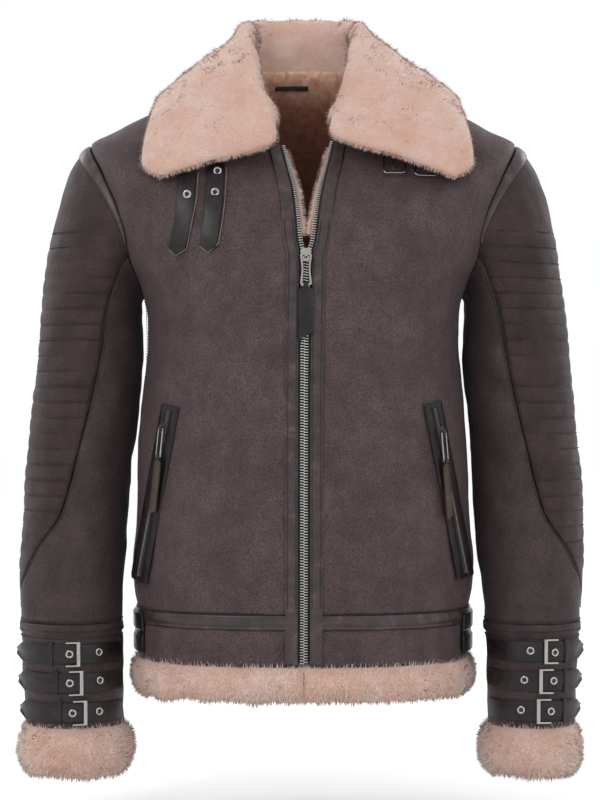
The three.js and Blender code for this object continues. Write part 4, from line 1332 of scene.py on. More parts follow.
@dataclass
class TrunkPanels:
    """The fronts, back, waist welt and hem band, with their soft creases."""

    trunk: Trunk
    finishes: Finishes
    front_creases: tuple[Crease, ...] = (
        Crease(((-176, -262), (-150, -285), (-118, -300), (-84, -298)), 3.2, 13),
        Crease(((-178, -286), (-150, -322), (-120, -346)), 2.2, 11),
        Crease(((176, -262), (148, -290), (120, -318), (96, -330)), 3.0, 13),
        Crease(((178, -292), (160, -330), (138, -352)), 2.0, 10),
        Crease(((-168, -130), (-150, -180), (-142, -232)), 2.4, 15),
        Crease(((176, -128), (160, -178), (150, -236)), 2.4, 15),
        Crease(((-70, -262), (-66, -340), (-74, -420)), 1.6, 22),
        Crease(((64, -250), (74, -330), (66, -430)), 1.5, 22),
        Crease(((-172, -520), (-140, -560), (-96, -578)), 2.0, 12),
        Crease(((-180, -548), (-158, -572), (-130, -586)), 2.2, 8),
        Crease(((176, -512), (150, -556), (104, -580)), 2.0, 12),
        Crease(((182, -545), (162, -572), (138, -588)), 2.4, 8),
        Crease(((-60, -480), (-40, -540), (-44, -590)), 1.3, 16),
        Crease(((52, -470), (60, -530), (46, -588)), 1.3, 16),
        Crease(((-104, -400), (-100, -470), (-110, -540)), -1.2, 18),
        Crease(((106, -410), (100, -480), (112, -545)), -1.2, 18),
    )
    back_creases: tuple[Crease, ...] = (
        Crease(((-176, -262), (-130, -292), (-80, -300)), 3.0, 13),
        Crease(((176, -262), (136, -298), (90, -310)), 3.0, 13),
        Crease(((-168, -140), (-140, -190), (-128, -240)), 2.2, 16),
        Crease(((170, -140), (146, -186), (136, -244)), 2.2, 16),
        Crease(((-60, -330), (-40, -420), (-54, -500)), 1.8, 24),
        Crease(((56, -320), (66, -410), (50, -505)), 1.8, 24),
        Crease(((-150, -520), (-80, -556), (-10, -566)), 2.2, 13),
        Crease(((150, -524), (90, -560), (30, -572)), 2.0, 13),
    )

    def _relief(self, creases: Sequence[Crease], v: Array, points: Array) -> Array:
        """Adds up a panel's creases and the hide's own unevenness.

        Args:
            creases: The panel's creases.
            v: Length up the trunk.
            points: The points there, in millimetres.

        Returns:
            How far each point stands out, in millimetres.
        """
        fall = sum(crease.fall(points[:, 0], points[:, 2]) for crease in creases)
        waves = unevenness(points, 70, 2.2) + unevenness(points, 24, 0.7, 5)
        waves = waves + unevenness(points, 9, 0.18, 9)
        calm = np.clip((NECK - v) / 60, 0, 1) * np.clip((v - PANEL_FOOT) / 14, 0.25, 1)
        seam = 1.1 * np.exp(-(((v - PANEL_FOOT) / 5) ** 2))
        return (waves - fall) * calm - seam

    def build(self) -> None:
        """Builds every panel of the trunk."""
        hide = [self.finishes.hide, self.finishes.lining]
        for side in Side:
            edge = self._front_limits(side)
            piece = Sheet(
                f"front_panel_{side.tag}", self.trunk.point, (0, 1), (PANEL_FOOT, NECK), (56, 130), hide,
                limits=edge, relief=lambda u, v, p: self._relief(self.front_creases, v, p),
            ).build()
            settle(piece, "root", "hide", f"front_{side.tag}")
            log.info("front %s: %d faces", side.tag, len(piece.data.polygons))
        back = Sheet(
            "back_panel", self.trunk.point, (0, 1), (PANEL_FOOT, NECK), (100, 120), hide,
            limits=self._back_limits, relief=lambda u, v, p: self._relief(self.back_creases, v, p),
        ).build()
        settle(back, "root", "hide", "back")
        self._bands(hide)

    def _front_limits(self, side: Side) -> Callable[[Array], tuple[Array, Array]]:
        """Gives a front's ends: the opening's edge and the side seam.

        Args:
            side: Which side of the jacket.

        Returns:
            Gives the two angles for lengths up the trunk.
        """
        return lambda v: (
            self.trunk.zip_angle(side.sign, v, EDGE_TO_TEETH),
            side.sign * self.trunk.seam_angle(v),
        )

    def _back_limits(self, v: Array) -> tuple[Array, Array]:
        """Gives the back's ends, at its two side seams.

        Args:
            v: Length up the trunk.

        Returns:
            The two angles.
        """
        seam = self.trunk.seam_angle(v)
        return 180 - seam, 180 + seam

    def _bands(self, hide: Sequence[bpy.types.Material]) -> None:
        """Builds the hem band and the raised welt over it, each of a back and two fronts.

        Args:
            hide: The hide and its lining.
        """
        welt = [self.finishes.trim, self.finishes.lining]
        for name, slot, span, rows, lift, wall, finish, relief in (
            ("hem_band", "hide", (0.0, 39.6), 14, 0.0, WALL, hide, self._puckers),
            ("waist_welt", "trim_leather", (39.2, 54.6), 9, 1.2, 4.0, welt, self._roll),
        ):
            for side in Side:
                piece = Sheet(
                    f"{name}_front_{side.tag}_leather", self.trunk.point, (0, 1), span, (90, rows),
                    finish, limits=self._front_limits(side), relief=relief, lift=lift, wall=wall,
                ).build()
                settle(piece, "root", slot, f"{name}_front_{side.tag}")
            piece = Sheet(
                f"{name}_back_leather", self.trunk.point, (0, 1), span, (170, rows),
                finish, limits=self._back_limits, relief=relief, lift=lift, wall=wall,
            ).build()
            settle(piece, "root", slot, f"{name}_back")

    def _roll(self, u: Array, v: Array, points: Array) -> Array:
        """Rounds the welt over its cord, with a stitched groove at its lower edge.

        Args:
            u: Where, across; not used.
            v: Length up the trunk.
            points: The points there, in millimetres; not used.

        Returns:
            How far each point stands out, in millimetres.
        """
        share = (v - 40.2) / 12.6
        rolled = 1.5 * np.sin(np.pi * np.clip(share, 0, 1)) ** 0.6
        return rolled - 1.6 * np.exp(-(((share - 0.24) / 0.09) ** 2))

    def _puckers(self, u: Array, v: Array, points: Array) -> Array:
        """Draws the small gathers of the hem band, strongest beside the side straps.

        Args:
            u: Where, across; not used.
            v: Length up the trunk.
            points: The points there, in millimetres.

        Returns:
            How far each point stands out, in millimetres.
        """
        x = points[:, 0]
        drawn = np.exp(-(((np.abs(x) - 150) / 34) ** 2))
        ripples = 1.7 * drawn * np.sin(x / 4.1 + 0.8 * np.sin(x / 13))
        return ripples * np.sin(np.pi * np.clip(v / 40, 0, 1)) + unevenness(points, 26, 1.2, 3)


def sleeve_level(down: Array) -> Array:
    """Turns a length down the sleeve into the level that its form reads.

    Args:
        down: 0 at the armhole, CAP_DOWN at the cap's last ring, and millimetres below it.

    Returns:
        The level.
    """
    down = np.asarray(down, float)
    return np.where(down < CAP_DOWN, 1 - down / CAP_DOWN, CAP_Z - (down - CAP_DOWN))


def cuff_axis(side: Side) -> Vector:
    """Gives X and Y of the line down a cuff's hollow, in millimetres."""
    return Vector((side.sign * CUFF_AXIS[0], CUFF_AXIS[1], 0))


@dataclass
class Sleeves:
    """Both sleeves: the ribbed upper leather, the plain under one and the strip over the shoulder."""

    trunk: Trunk
    finishes: Finishes
    rib_pitch: float = 17.0
    rib_first_z: float = -178.0
    rib_count: int = 22
    rib_height: float = 1.5
    bends: dict[Side, tuple[Crease, ...]] = field(
        default_factory=lambda: {
            Side.RIGHT: (
                Crease(((-180, -262), (-212, -290), (-246, -300)), 3.2, 12),
                Crease(((-184, -330), (-214, -346), (-240, -344)), 2.6, 12),
                Crease(((-188, -420), (-224, -446), (-262, -440)), 4.2, 15),
                Crease(((-192, -452), (-226, -478), (-270, -486)), 3.4, 13),
                Crease(((-196, -500), (-236, -512), (-276, -504)), 2.4, 12),
                Crease(((-202, -560), (-250, -576), (-300, -566)), 2.8, 12),
                Crease(((-206, -588), (-244, -598), (-286, -592)), 2.4, 8),
            ),
            Side.LEFT: (
                Crease(((180, -258), (208, -292), (240, -306)), 3.2, 12),
                Crease(((186, -326), (216, -350), (246, -352)), 2.6, 12),
                Crease(((190, -412), (220, -440), (258, -444)), 4.0, 15),
                Crease(((192, -446), (232, -480), (268, -478)), 3.4, 13),
                Crease(((194, -506), (230, -508), (272, -518)), 2.4, 12),
                Crease(((200, -556), (246, -572), (292, -574)), 2.8, 12),
                Crease(((204, -590), (240, -594), (282, -600)), 2.4, 8),
            ),
        }
    )

    def build(self) -> None:
        """Builds both sleeves."""
        for side in Side:
            form = SleeveForm(side, self.trunk)
            self._upper(side, form)
            self._under(side, form)
            self._cuff_band(side, form)
            self._strip(side, form)
            log.info("sleeve %s built", side.tag)

    def _creases(self, side: Side, points: Array) -> Array:
        """Adds up the bends of a sleeve."""
        return sum(crease.fall(points[:, 0], points[:, 2]) for crease in self.bends[side])

    def _ribs(self, z: Array, edge: Array) -> Array:
        """Gives the height of the ribs over the seam, sunk where they are stitched.

        Args:
            z: Heights.
            edge: Distances from the seams, in millimetres.

        Returns:
            How far each point stands out, in millimetres.
        """
        phase = (z - self.rib_first_z) / self.rib_pitch
        inside = (phase <= 0) & (phase >= -self.rib_count)
        puff = np.abs(np.sin(np.pi * phase)) ** 0.4
        return inside * (self.rib_height * puff - 0.9) * np.clip(edge / 5, 0, 1)

    def _upper(self, side: Side, form: SleeveForm) -> None:
        """Builds the upper leather from the armhole to the cuff's seam.

        Args:
            side: Which side of the jacket.
            form: The sleeve's form.
        """

        def limits(down: Array) -> tuple[Array, Array]:
            """Gives its two seams."""
            seam = form.seam_at(sleeve_level(down))
            return 0.5 - seam, seam - 0.5

        def heights(angle: Array, down: Array, points: Array) -> Array:
            """Adds up ribs, bends and waves.

            Args:
                angle: Round the sleeve.
                down: Down it.
                points: The points there, in millimetres.

            Returns:
                How far each point stands out, in millimetres.
            """
            low, high = limits(down)
            edge = np.minimum(angle - low, high - angle) * 1.1
            soft = np.clip(down / 26, 0, 1) * np.clip((SLEEVE_DOWN - down) / 12, 0.2, 1)
            waves = unevenness(points, 60, 2.4, 11) + unevenness(points, 20, 0.9, 21)
            bent = self._creases(side, points) * 0.45
            roll = 0.9 * np.exp(-((edge / 3.0) ** 2))
            return self._ribs(points[:, 2], edge) + (waves - bent) * soft - roll

        piece = Sheet(
            f"sleeve_ribbed_{side.tag}", form.down, (0, 1), (0, SLEEVE_DOWN), (56, 230),
            [self.finishes.ribbed, self.finishes.lining], limits=limits, relief=heights,
            outward=Vector((side.sign * SLEEVE_AXIS, 0, 0)),
        ).build()
        caps = ("sleeve_cap_l",) if side is Side.LEFT else ()
        settle(piece, "root", "hide", f"sleeve_top_{side.tag}", *caps)

    def _under(self, side: Side, form: SleeveForm) -> None:
        """Builds the plain leather that closes the sleeve toward the trunk.

        Args:
            side: Which side of the jacket.
            form: The sleeve's form.
        """

        def limits(down: Array) -> tuple[Array, Array]:
            """Gives its two seams."""
            seam = form.seam_at(sleeve_level(down))
            return seam + 0.5, 359.5 - seam

        def heights(angle: Array, down: Array, points: Array) -> Array:
            """Adds up bends and waves.

            Args:
                angle: Round the sleeve.
                down: Down it.
                points: The points there, in millimetres.

            Returns:
                How far each point stands out, in millimetres.
            """
            low, high = limits(down)
            edge = np.minimum(angle - low, high - angle) * 1.1
            soft = np.clip(down / 26, 0, 1) * np.clip((SLEEVE_DOWN - down) / 12, 0.2, 1)
            waves = unevenness(points, 60, 2.4, 11) + unevenness(points, 22, 0.9, 31)
            roll = 0.9 * np.exp(-((edge / 3.0) ** 2))
            return (waves - self._creases(side, points)) * soft - roll

        piece = Sheet(
            f"sleeve_plain_{side.tag}", form.down, (0, 1), (0, SLEEVE_DOWN), (60, 110),
            [self.finishes.sleeve, self.finishes.lining], limits=limits, relief=heights,
            outward=Vector((side.sign * SLEEVE_AXIS, 0, 0)),
        ).build()
        settle(piece, "root", "hide", f"sleeve_under_{side.tag}")

    def _cuff_band(self, side: Side, form: SleeveForm) -> None:
        """Builds the band under the straps, with the raised welt at its top.

        Args:
            side: Which side of the jacket.
            form: The sleeve's form.
        """

        def heights(angle: Array, z: Array, points: Array) -> Array:
            """Rounds the welt, sinks its seam and puckers the band.

            Args:
                angle: Round the cuff; not used.
                z: Heights.
                points: The points there, in millimetres.

            Returns:
                How far each point stands out, in millimetres.
            """
            down = CUFF_TOP_Z - z
            welt = 1.4 * np.clip((12 - down) / 1.5, 0, 1) * np.clip(down / 1.5, 0, 1) ** 0.5
            seam = 1.3 * np.exp(-(((down - 12.4) / 1.6) ** 2))
            return welt - seam + unevenness(points, 26, 1.6, 41) + unevenness(points, 9, 0.35, 43)

        piece = Sheet(
            f"cuff_band_leather_{side.tag}", form.point, (-150, 210),
            (CUFF_TOP_Z - 0.4, CUFF_END_Z), (130, 44),
            [self.finishes.sleeve, self.finishes.lining], relief=heights, outward=cuff_axis(side),
        ).build()
        settle(piece, "root", "trim_leather", f"cuff_band_{side.tag}")

    def _strip(self, side: Side, form: SleeveForm) -> None:
        """Builds the smooth strip that runs over the shoulder beside the armhole.

        Args:
            side: Which side of the jacket.
            form: The sleeve's form.
        """

        def surface(share: Array, down: Array) -> Array:
            """Reads the sleeve along the strip's course.

            Args:
                share: Along the shoulder, -1 to 1.
                down: Across the strip, 0 to 1.

            Returns:
                Points in millimetres, one a row.
            """
            share, down = np.broadcast_arrays(np.asarray(share, float), np.asarray(down, float))
            level = 0.996 - 0.125 * (1 - 0.5 * np.abs(share) ** 3) * down
            return form.point(share * 108, level)

        def heights(share: Array, down: Array, points: Array) -> Array:
            """Rounds the strip, with its stitched edges drawn in."""
            return 1.2 + 1.1 * np.clip(np.sin(np.pi * down), 0, 1) ** 0.5

        piece = Sheet(
            f"shoulder_leather_{side.tag}", surface, (-1, 1), (0, 1), (150, 12),
            [self.finishes.trim], relief=heights, wall=1.4,
            outward=Vector((side.sign * 190, 0, 0)),
        ).build()
        settle(piece, "root", "trim_leather", f"shoulder_strip_{side.tag}")


@dataclass
class Furs:
    """The sheepskin's wool where it shows: collar, hem, cuffs and the open neck."""

    trunk: Trunk
    collar: CollarForm
    finishes: Finishes
    profile: Profile = field(
        default_factory=lambda: Profile((0, 0.16, 0.42, 0.68, 0.9, 1), (4, 11, 14.5, 13.5, 8, 2))
    )
    edge_drop: float = 8.0  # how far the wool hangs past the collar's cut edge
    wing_belly: float = 20.0  # how far a wing's lower edge bows down at its middle
    left_belly: float = 0.62  # share of it on the left wing, which lies over the buckles
    belly_way: tuple[float, float, float] = (0.0, -0.42, -0.91)
    buckle_room: float = 7.0  # how much further the left wing stands off, clear of the buckles

    def build(self) -> None:
        """Builds every fur and grows its locks."""
        self._collar()
        self._hem()
        for side in Side:
            self._cuff(side)
            self._front_edge(side)
        self._neck_lining()

    def _swell(self, points: Array, seed: float) -> Array:
        """Gives the soft lumps of clumped wool."""
        return unevenness(points, 34, 3.2, seed) + unevenness(points, 13, 1.7, seed + 7)

    def _collar(self) -> None:
        """Builds the collar with its wool outside."""

        def surface(at: Array, across: Array) -> Array:
            """Reads the collar's form row by row, once for each place round the neck.

            Args:
                at: Round the neck, -6 to 6.
                across: Shares of the way to the free edge.

            Returns:
                Points in millimetres, one a row.
            """
            found = np.zeros((len(at), 3))
            keys = np.round(at, 5)
            for key in np.unique(keys):
                rows = np.nonzero(keys == key)[0]
                share = across[rows]
                found[rows] = self.collar.point(float(key), share)
                way = found[rows] - self.collar.point(float(key), share - 0.02)
                way /= np.maximum(np.linalg.norm(way, axis=1, keepdims=True), 1e-6)
                end = np.clip((abs(float(key)) - 4.4) / 1.5, 0, 1) ** 2
                past = self.edge_drop * np.clip((share - 0.7) / 0.28, 0, 1) ** 2 * (1 - 0.6 * end)
                bow = np.sin(np.pi * np.clip((share - 0.3) / 0.68, 0, 1) ** 0.8)
                belly = self.wing_belly * (self.left_belly if key > 0 else 1.0) * end * bow
                room = self.buckle_room if key > 0 else 0.0
                clear = room * end * np.clip((share - 0.3) / 0.2, 0, 1)
                shift = way * past[:, None] + np.outer(belly, self.belly_way)
                found[rows] += shift - np.outer(clear, (0, 1, 0))
            return found

        def heights(at: Array, across: Array, points: Array) -> Array:
            """Fills the wool out, thin at the seam and rounded at every edge.

            Args:
                at: Round the neck.
                across: Shares of the way to the free edge.
                points: The points there, in millimetres.

            Returns:
                How far each point stands out, in millimetres.
            """
            ends = np.clip((5.95 - np.abs(at)) / 0.28, 0, 1)
            seam = np.clip(across / 0.06, 0, 1)
            free = np.clip((0.98 - across) / 0.05, 0, 1)
            round_edge = np.sqrt(np.clip(1 - (1 - np.minimum(ends, free)) ** 2, 0, 1))
            return (-1.4 + self._swell(points, 3)) * round_edge * seam - 5.0 * (1 - round_edge)

        skin = Sheet(
            "collar_sheepskin", surface, (-5.95, 5.95), (0, 0.98), (120, 50),
            [self.finishes.wool, self.finishes.hide],
            relief=heights, wall=COLLAR_WALL, held="folded",
        ).build()
        piece = applied(skin)
        settle(piece, "root", "fleece", "collar")
        log.info("collar: %d faces", len(piece.data.polygons))
        shares = (
            ("right_wing", 29000, lambda x: x < -NAPE_HALF),
            ("left_wing", 29000, lambda x: x > NAPE_HALF),
            ("nape", 10000, lambda x: abs(x) <= NAPE_HALF),
        )
        for number, (share, count, inside) in enumerate(shares):
            fur = Locks(count, seed=SEED + 3 * number).grow(
                f"collar_wool_{share}", piece, self.finishes.locks,
                lambda face, inside=inside: (
                    face.material_index == 0 and inside(face.calc_center_median().x)
                ),
            )
            settle(fur, "root", "fleece")
            log.info("collar wool, %s: %d faces", share, len(fur.data.polygons))

    def _hem(self) -> None:
        """Builds the wool below the hem band, split under the zip."""

        def split(down: Array) -> tuple[Array, Array]:
            """Gives the angles of its two ends.

            Args:
                down: Down the fur.

            Returns:
                The two ends.
            """
            up = np.zeros_like(down)
            first = self.trunk.angle_at(np.full_like(down, 1.4), up)
            last = self.trunk.angle_at(np.full_like(down, -0.2), up)
            return first, 360 + last

        def surface(angle: Array, down: Array) -> Array:
            """Swells out below the band and rolls under.

            Args:
                angle: Round the trunk.
                down: Down the fur, 0 to 1.

            Returns:
                Points in millimetres, one a row.
            """
            base = self.trunk.point(angle, 0.2)
            away = base * np.array([1, 1, 0])
            away /= np.linalg.norm(away, axis=1, keepdims=True)
            rise = self.profile(down) * 0.76 - 5
            fall = HEM_Z + (HEM_FUR_Z - HEM_Z + 6) * down - base[:, 2]
            drop = np.stack([0 * down, 0 * down, fall], -1)
            return base + away * rise[:, None] + drop

        piece = Sheet(
            "hem_sheepskin", surface, (0, 1), (0, 1), (300, 12),
            [self.finishes.wool, self.finishes.lining], limits=split, wall=9,
            relief=lambda u, v, p: self._swell(p, 21) * np.clip(v * 6, 0, 1),
        ).build()
        piece = applied(piece)
        settle(piece, "root", "fleece", "hem_fur")
        wool = Locks(22000, comb=(0, 0, -0.3), seed=SEED + 11)
        fur = wool.grow("hem_wool", piece, self.finishes.low_locks, lambda face: face.normal.z < 0.6)
        settle(fur, "root", "fleece")
        log.info("hem wool: %d faces", len(fur.data.polygons))
        edge = Locks(5000, length=7, comb=(0, 0, 0.9), seed=SEED + 12)
        ragged = edge.grow("hem_wool_top", piece, self.finishes.low_locks, above(HEM_Z - 9))
        settle(ragged, "root", "fleece")

    def _cuff(self, side: Side) -> None:
        """Builds the wool turned back at a sleeve's end.

        Args:
            side: Which side of the jacket.
        """
        form = SleeveForm(side, self.trunk)
        centre = cuff_axis(side)

        def surface(angle: Array, down: Array) -> Array:
            """Swells out below the cuff and rolls under.

            Args:
                angle: Round the cuff.
                down: Down the fur, 0 to 1.

            Returns:
                Points in millimetres, one a row.
            """
            z = CUFF_END_Z + 1 + (CUFF_FUR_Z - CUFF_END_Z + 4) * down
            base = form.point(angle, z)
            away = (base - np.array(centre)) * np.array([1, 1, 0])
            away /= np.linalg.norm(away, axis=1, keepdims=True)
            return base + away * (self.profile(down) - 6.0)[:, None]

        piece = Sheet(
            f"cuff_sheepskin_{side.tag}", surface, (0, 359.6), (0, 1), (120, 14),
            [self.finishes.wool, self.finishes.lining], wall=10, outward=centre,
            relief=lambda u, v, p: self._swell(p, 33 + side.sign) * np.clip(v * 6, 0, 1),
        ).build()
        piece = applied(piece)
        settle(piece, "root", "fleece", f"cuff_fur_{side.tag}")
        wool = Locks(12500, comb=(0, 0, -0.25), seed=SEED + 20 + side.sign)
        fur = wool.grow(
            f"cuff_wool_{side.tag}", piece, self.finishes.low_locks, lambda face: face.normal.z < 0.6
        )
        settle(fur, "root", "fleece")
        log.info("cuff wool %s: %d faces", side.tag, len(fur.data.polygons))
        edge = Locks(2500, length=6, comb=(0, 0, 0.9), seed=SEED + 30 + side.sign)
        ragged = edge.grow(
            f"cuff_wool_top_{side.tag}", piece, self.finishes.low_locks, above(CUFF_END_Z - 9)
        )
        settle(ragged, "root", "fleece")

    def _front_edge(self, side: Side) -> None:
        """Lays the wool that shows behind the zip's tape where the front is open.

        Args:
            side: Which side of the jacket.
        """
        piece = Sheet(
            f"edge_sheepskin_{side.tag}", self.trunk.point, (0, 1), (528, 737), (6, 96),
            [self.finishes.wool],
            limits=lambda up: (
                self.trunk.zip_angle(side.sign, up, -3.2),
                self.trunk.zip_angle(side.sign, up, 6.0),
            ),
            relief=lambda u, v, p: -5.5 + 2.0 * np.sin(np.pi * np.clip(u, 0, 1)) + unevenness(p, 9, 1.0, 5),
            wall=3.5,
        ).build()
        piece = applied(piece)
        settle(piece, "root", "fleece")
        comb = (-0.7 * side.sign, -0.3, -0.2)
        wool = Locks(2600, length=4.2, comb=comb, seed=SEED + 50 + side.sign)
        fur = wool.grow(
            f"edge_wool_{side.tag}", piece, self.finishes.locks, lambda face: face.normal.y < 0.3
        )
        settle(fur, "root", "fleece")

    def _neck_lining(self) -> None:
        """Lays short shorn wool on the inside of the neck, where the opening shows it."""

        def surface(angle: Array, up: Array) -> Array:
            """Reads the inner face of the trunk's wall.

            Args:
                angle: Round the trunk.
                up: Length up it.

            Returns:
                Points in millimetres, one a row.
            """
            outer = self.trunk.point(angle, np.minimum(up, NECK))
            away = outer * np.array([1, 1, 0])
            away /= np.maximum(np.linalg.norm(away, axis=1, keepdims=True), 1e-6)
            over = np.maximum(up - NECK, 0)[:, None] * np.array([0, 0, 1])
            return outer - away * (WALL + 0.6) + over

        piece = Sheet(
            "neck_lining", surface, (118, 242), (430, 757), (40, 66), [self.finishes.lining], wall=0.8,
        ).build()
        settle(piece, "root", "fleece")


def pill(name: str, length: float, radius: float, material: bpy.types.Material) -> bpy.types.Object:
    """Makes one stitch: a square rod along its X, in metres.

    Args:
        name: The piece's name.
        length: Its whole length, in millimetres.
        radius: Half its thickness.
        material: Its finish.

    Returns:
        The rod.
    """
    bm = bmesh.new()
    bmesh.ops.create_cube(bm, size=2 * radius * MM)
    stretch = max(length / (2 * radius), 1)
    bmesh.ops.scale(bm, vec=(stretch, 1, 1), verts=bm.verts)
    return to_object(name, bm, [material])


def copies(name: str, pattern: bpy.types.Object, places: Sequence[Matrix]) -> bpy.types.Object:
    """Joins copies of a small piece into one mesh and removes the piece.

    Args:
        name: The joined piece's name.
        pattern: The piece, drawn at the origin in metres.
        places: Where each copy goes.

    Returns:
        The joined mesh.
    """
    bm = bmesh.new()
    source = pattern.data
    for place in places:
        first = len(bm.verts)
        bm.from_mesh(source)
        bm.verts.ensure_lookup_table()
        bmesh.ops.transform(bm, matrix=place, verts=bm.verts[first:])
    materials = list(source.materials)
    bpy.data.objects.remove(pattern)
    return to_object(name, bm, materials)


def spread(course: Sequence[Vector], pitch: float) -> list[tuple[Vector, Vector]]:
    """Sets points along a course at an even pitch.

    Args:
        course: The course, in millimetres.
        pitch: Distance between two points.

    Returns:
        Each point with the course's direction there.
    """
    knots = np.array([tuple(p) for p in course])
    steps = np.linalg.norm(np.diff(knots, axis=0), axis=1)
    total = np.concatenate([[0], np.cumsum(steps)])
    count = max(int(total[-1] / pitch), 1)
    found = []
    for k in range(count + 1):
        at = total[-1] * k / count
        i = min(int(np.searchsorted(total, at, side="right")) - 1, len(steps) - 1)
        t = (at - total[i]) / max(steps[i], 1e-9)
        way = knots[i + 1] - knots[i]
        found.append((Vector(knots[i] + way * t), Vector(way).normalized()))
    return found


@dataclass
class Stitcher:
    """Sews lines of stitches on surfaces."""

    thread: bpy.types.Material
    pitch: float = 3.2
    length: float = 2.3
    radius: float = 0.42

    def sew(self, name: str, courses: Sequence[Sequence[tuple[Vector, Vector]]]) -> bpy.types.Object:
        """Sews lines of stitches.

        Args:
            name: The piece's name.
            courses: Lines of points with the outward normal at each, in millimetres.

        Returns:
            All the stitches as one mesh.
        """
        places = []
        for course in courses:
            points = [p for p, _ in course]
            normals = [n for _, n in course]
            lengths = [0.0]
            for a, b in zip(points, points[1:]):
                lengths.append(lengths[-1] + (b - a).length)
            for spot, way in spread(points, self.pitch):
                near = min(range(len(points)), key=lambda k: (points[k] - spot).length_squared)
                away = normals[near]
                y = away.cross(way).normalized()
                turned = Matrix((way, y, way.cross(y))).transposed().to_4x4()
                places.append(Matrix.Translation(spot * MM) @ turned)
        piece = copies(name, pill("stitch", self.length, self.radius, self.thread), places)
        settle(piece, "root", "trim_leather")
        log.info("%s: %d stitches", name, len(places))
        return piece


def on_surface(
    surface: Surface, us: Array, vs: Array, rise: float, hand: int, steps: tuple[float, float]
) -> list[tuple[Vector, Vector]]:
    """Reads points and normals along a line on a surface.

    Args:
        surface: The surface.
        us: Where, across.
        vs: Where, along.
        rise: How far above the surface, in millimetres.
        hand: -1 on a mirrored surface.
        steps: Small steps for the normal.

    Returns:
        Each point with its normal.
    """
    us, vs = np.broadcast_arrays(np.asarray(us, float), np.asarray(vs, float))
    points = surface(us, vs)
    du, dv = steps
    across = surface(us + du, vs) - surface(us - du, vs)
    along = surface(us, vs + dv) - surface(us, vs - dv)
    normals = np.cross(across, along)
    normals = hand * normals / np.linalg.norm(normals, axis=1, keepdims=True)
    return [(Vector(p + n * rise), Vector(n)) for p, n in zip(points, normals)]


@dataclass
class Refiner:
    """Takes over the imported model's small solids, rounds their edges and gives them a finish."""

    nodes: dict[str, bpy.types.Object]
    flat: float = 2.0  # degrees within which two faces become one
    sharp: float = 32.0  # degrees from which an edge is rounded
    creased: float = 40.0  # degrees from which an edge still shows in the shading

    def take(
        self, node: str, material: bpy.types.Material, slot: str, radius: float, segments: int
    ) -> bpy.types.Object:
        """Makes the fine piece for one solid.

        Args:
            node: The solid's name.
            material: The finish.
            slot: The record's material slot; not used.
            radius: Radius of its edges, in millimetres.
            segments: Facets round an edge.

        Returns:
            The piece, which stands for the solid.
        """
        source = self.nodes[node]
        bm = bmesh.new()
        bm.from_mesh(source.data)
        bmesh.ops.remove_doubles(bm, verts=bm.verts, dist=0.00001)
        flat = math.radians(self.flat)
        bmesh.ops.dissolve_limit(bm, angle_limit=flat, verts=bm.verts, edges=bm.edges)
        least = math.radians(self.sharp)
        sharp = [e for e in bm.edges if e.is_manifold and e.calc_face_angle(0) > least]
        bmesh.ops.bevel(
            bm, geom=sharp, offset=radius * MM, offset_type="OFFSET", affect="EDGES",
            segments=segments, profile=0.5, material=-1, clamp_overlap=True,
        )
        bmesh.ops.recalc_face_normals(bm, faces=bm.faces)
        piece = to_object(node + "_fine", bm, [material])
        piece.data.set_sharp_from_angle(angle=math.radians(self.creased))
        return settle(piece, source["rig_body"], slot, node)


@dataclass
class Eyelets:
    """Nickel eyelets: a rolled ring round a hole, with a dark disc in it as painted shade."""

    finishes: Finishes
    outer: float = 4.8
    hole: float = 2.1
    rise: float = 1.1

    def _pattern(self) -> bpy.types.Object:
        """Spins one eyelet, in metres, facing +Z.

        Returns:
            The eyelet.
        """
        bm = bmesh.new()
        middle, thick = (self.outer + self.hole) / 2, (self.outer - self.hole) / 2
        bmesh.ops.create_circle(bm, segments=10, radius=thick * MM)
        squash = Matrix.Diagonal((1, self.rise / thick, 1, 1))
        upright = Matrix.Rotation(math.pi / 2, 4, "X")
        place = Matrix.Translation((middle * MM, 0, 0)) @ upright @ squash
        bmesh.ops.transform(bm, matrix=place, verts=bm.verts)
        bmesh.ops.spin(
            bm, geom=bm.verts[:] + bm.edges[:], cent=(0, 0, 0), axis=(0, 0, 1),
            angle=math.tau, steps=28, use_merge=True,
        )
        bmesh.ops.recalc_face_normals(bm, faces=bm.faces)
        # A dark disc of the tape's finish fills the hole: painted shade where the hole goes into the
        # leather
        sides = 20
        hole_shade_radius = (self.hole + 0.3) * MM
        disc = bmesh.ops.create_circle(bm, cap_ends=True, segments=sides, radius=hole_shade_radius)
        for vert in disc["verts"]:
            vert.co.z += 0.15 * MM
        for face in bm.faces:
            face.material_index = int(len(face.verts) == sides)
        return to_object("eyelet", bm, [self.finishes.nickel, self.finishes.tape])

    def punch(self, name: str, places: Sequence[tuple[Vector, Vector]]) -> bpy.types.Object:
        """Sets eyelets in leather.

        Args:
            name: The piece's name.
            places: Points with their outward normals, in millimetres.

        Returns:
            All the eyelets as one mesh.
        """
        settings = [setting(p, Vector((0, 0, 1)), n) @ Matrix.Scale(1 / MM, 4) for p, n in places]
        piece = copies(name, self._pattern(), settings)
        return settle(piece, "root", "metal")


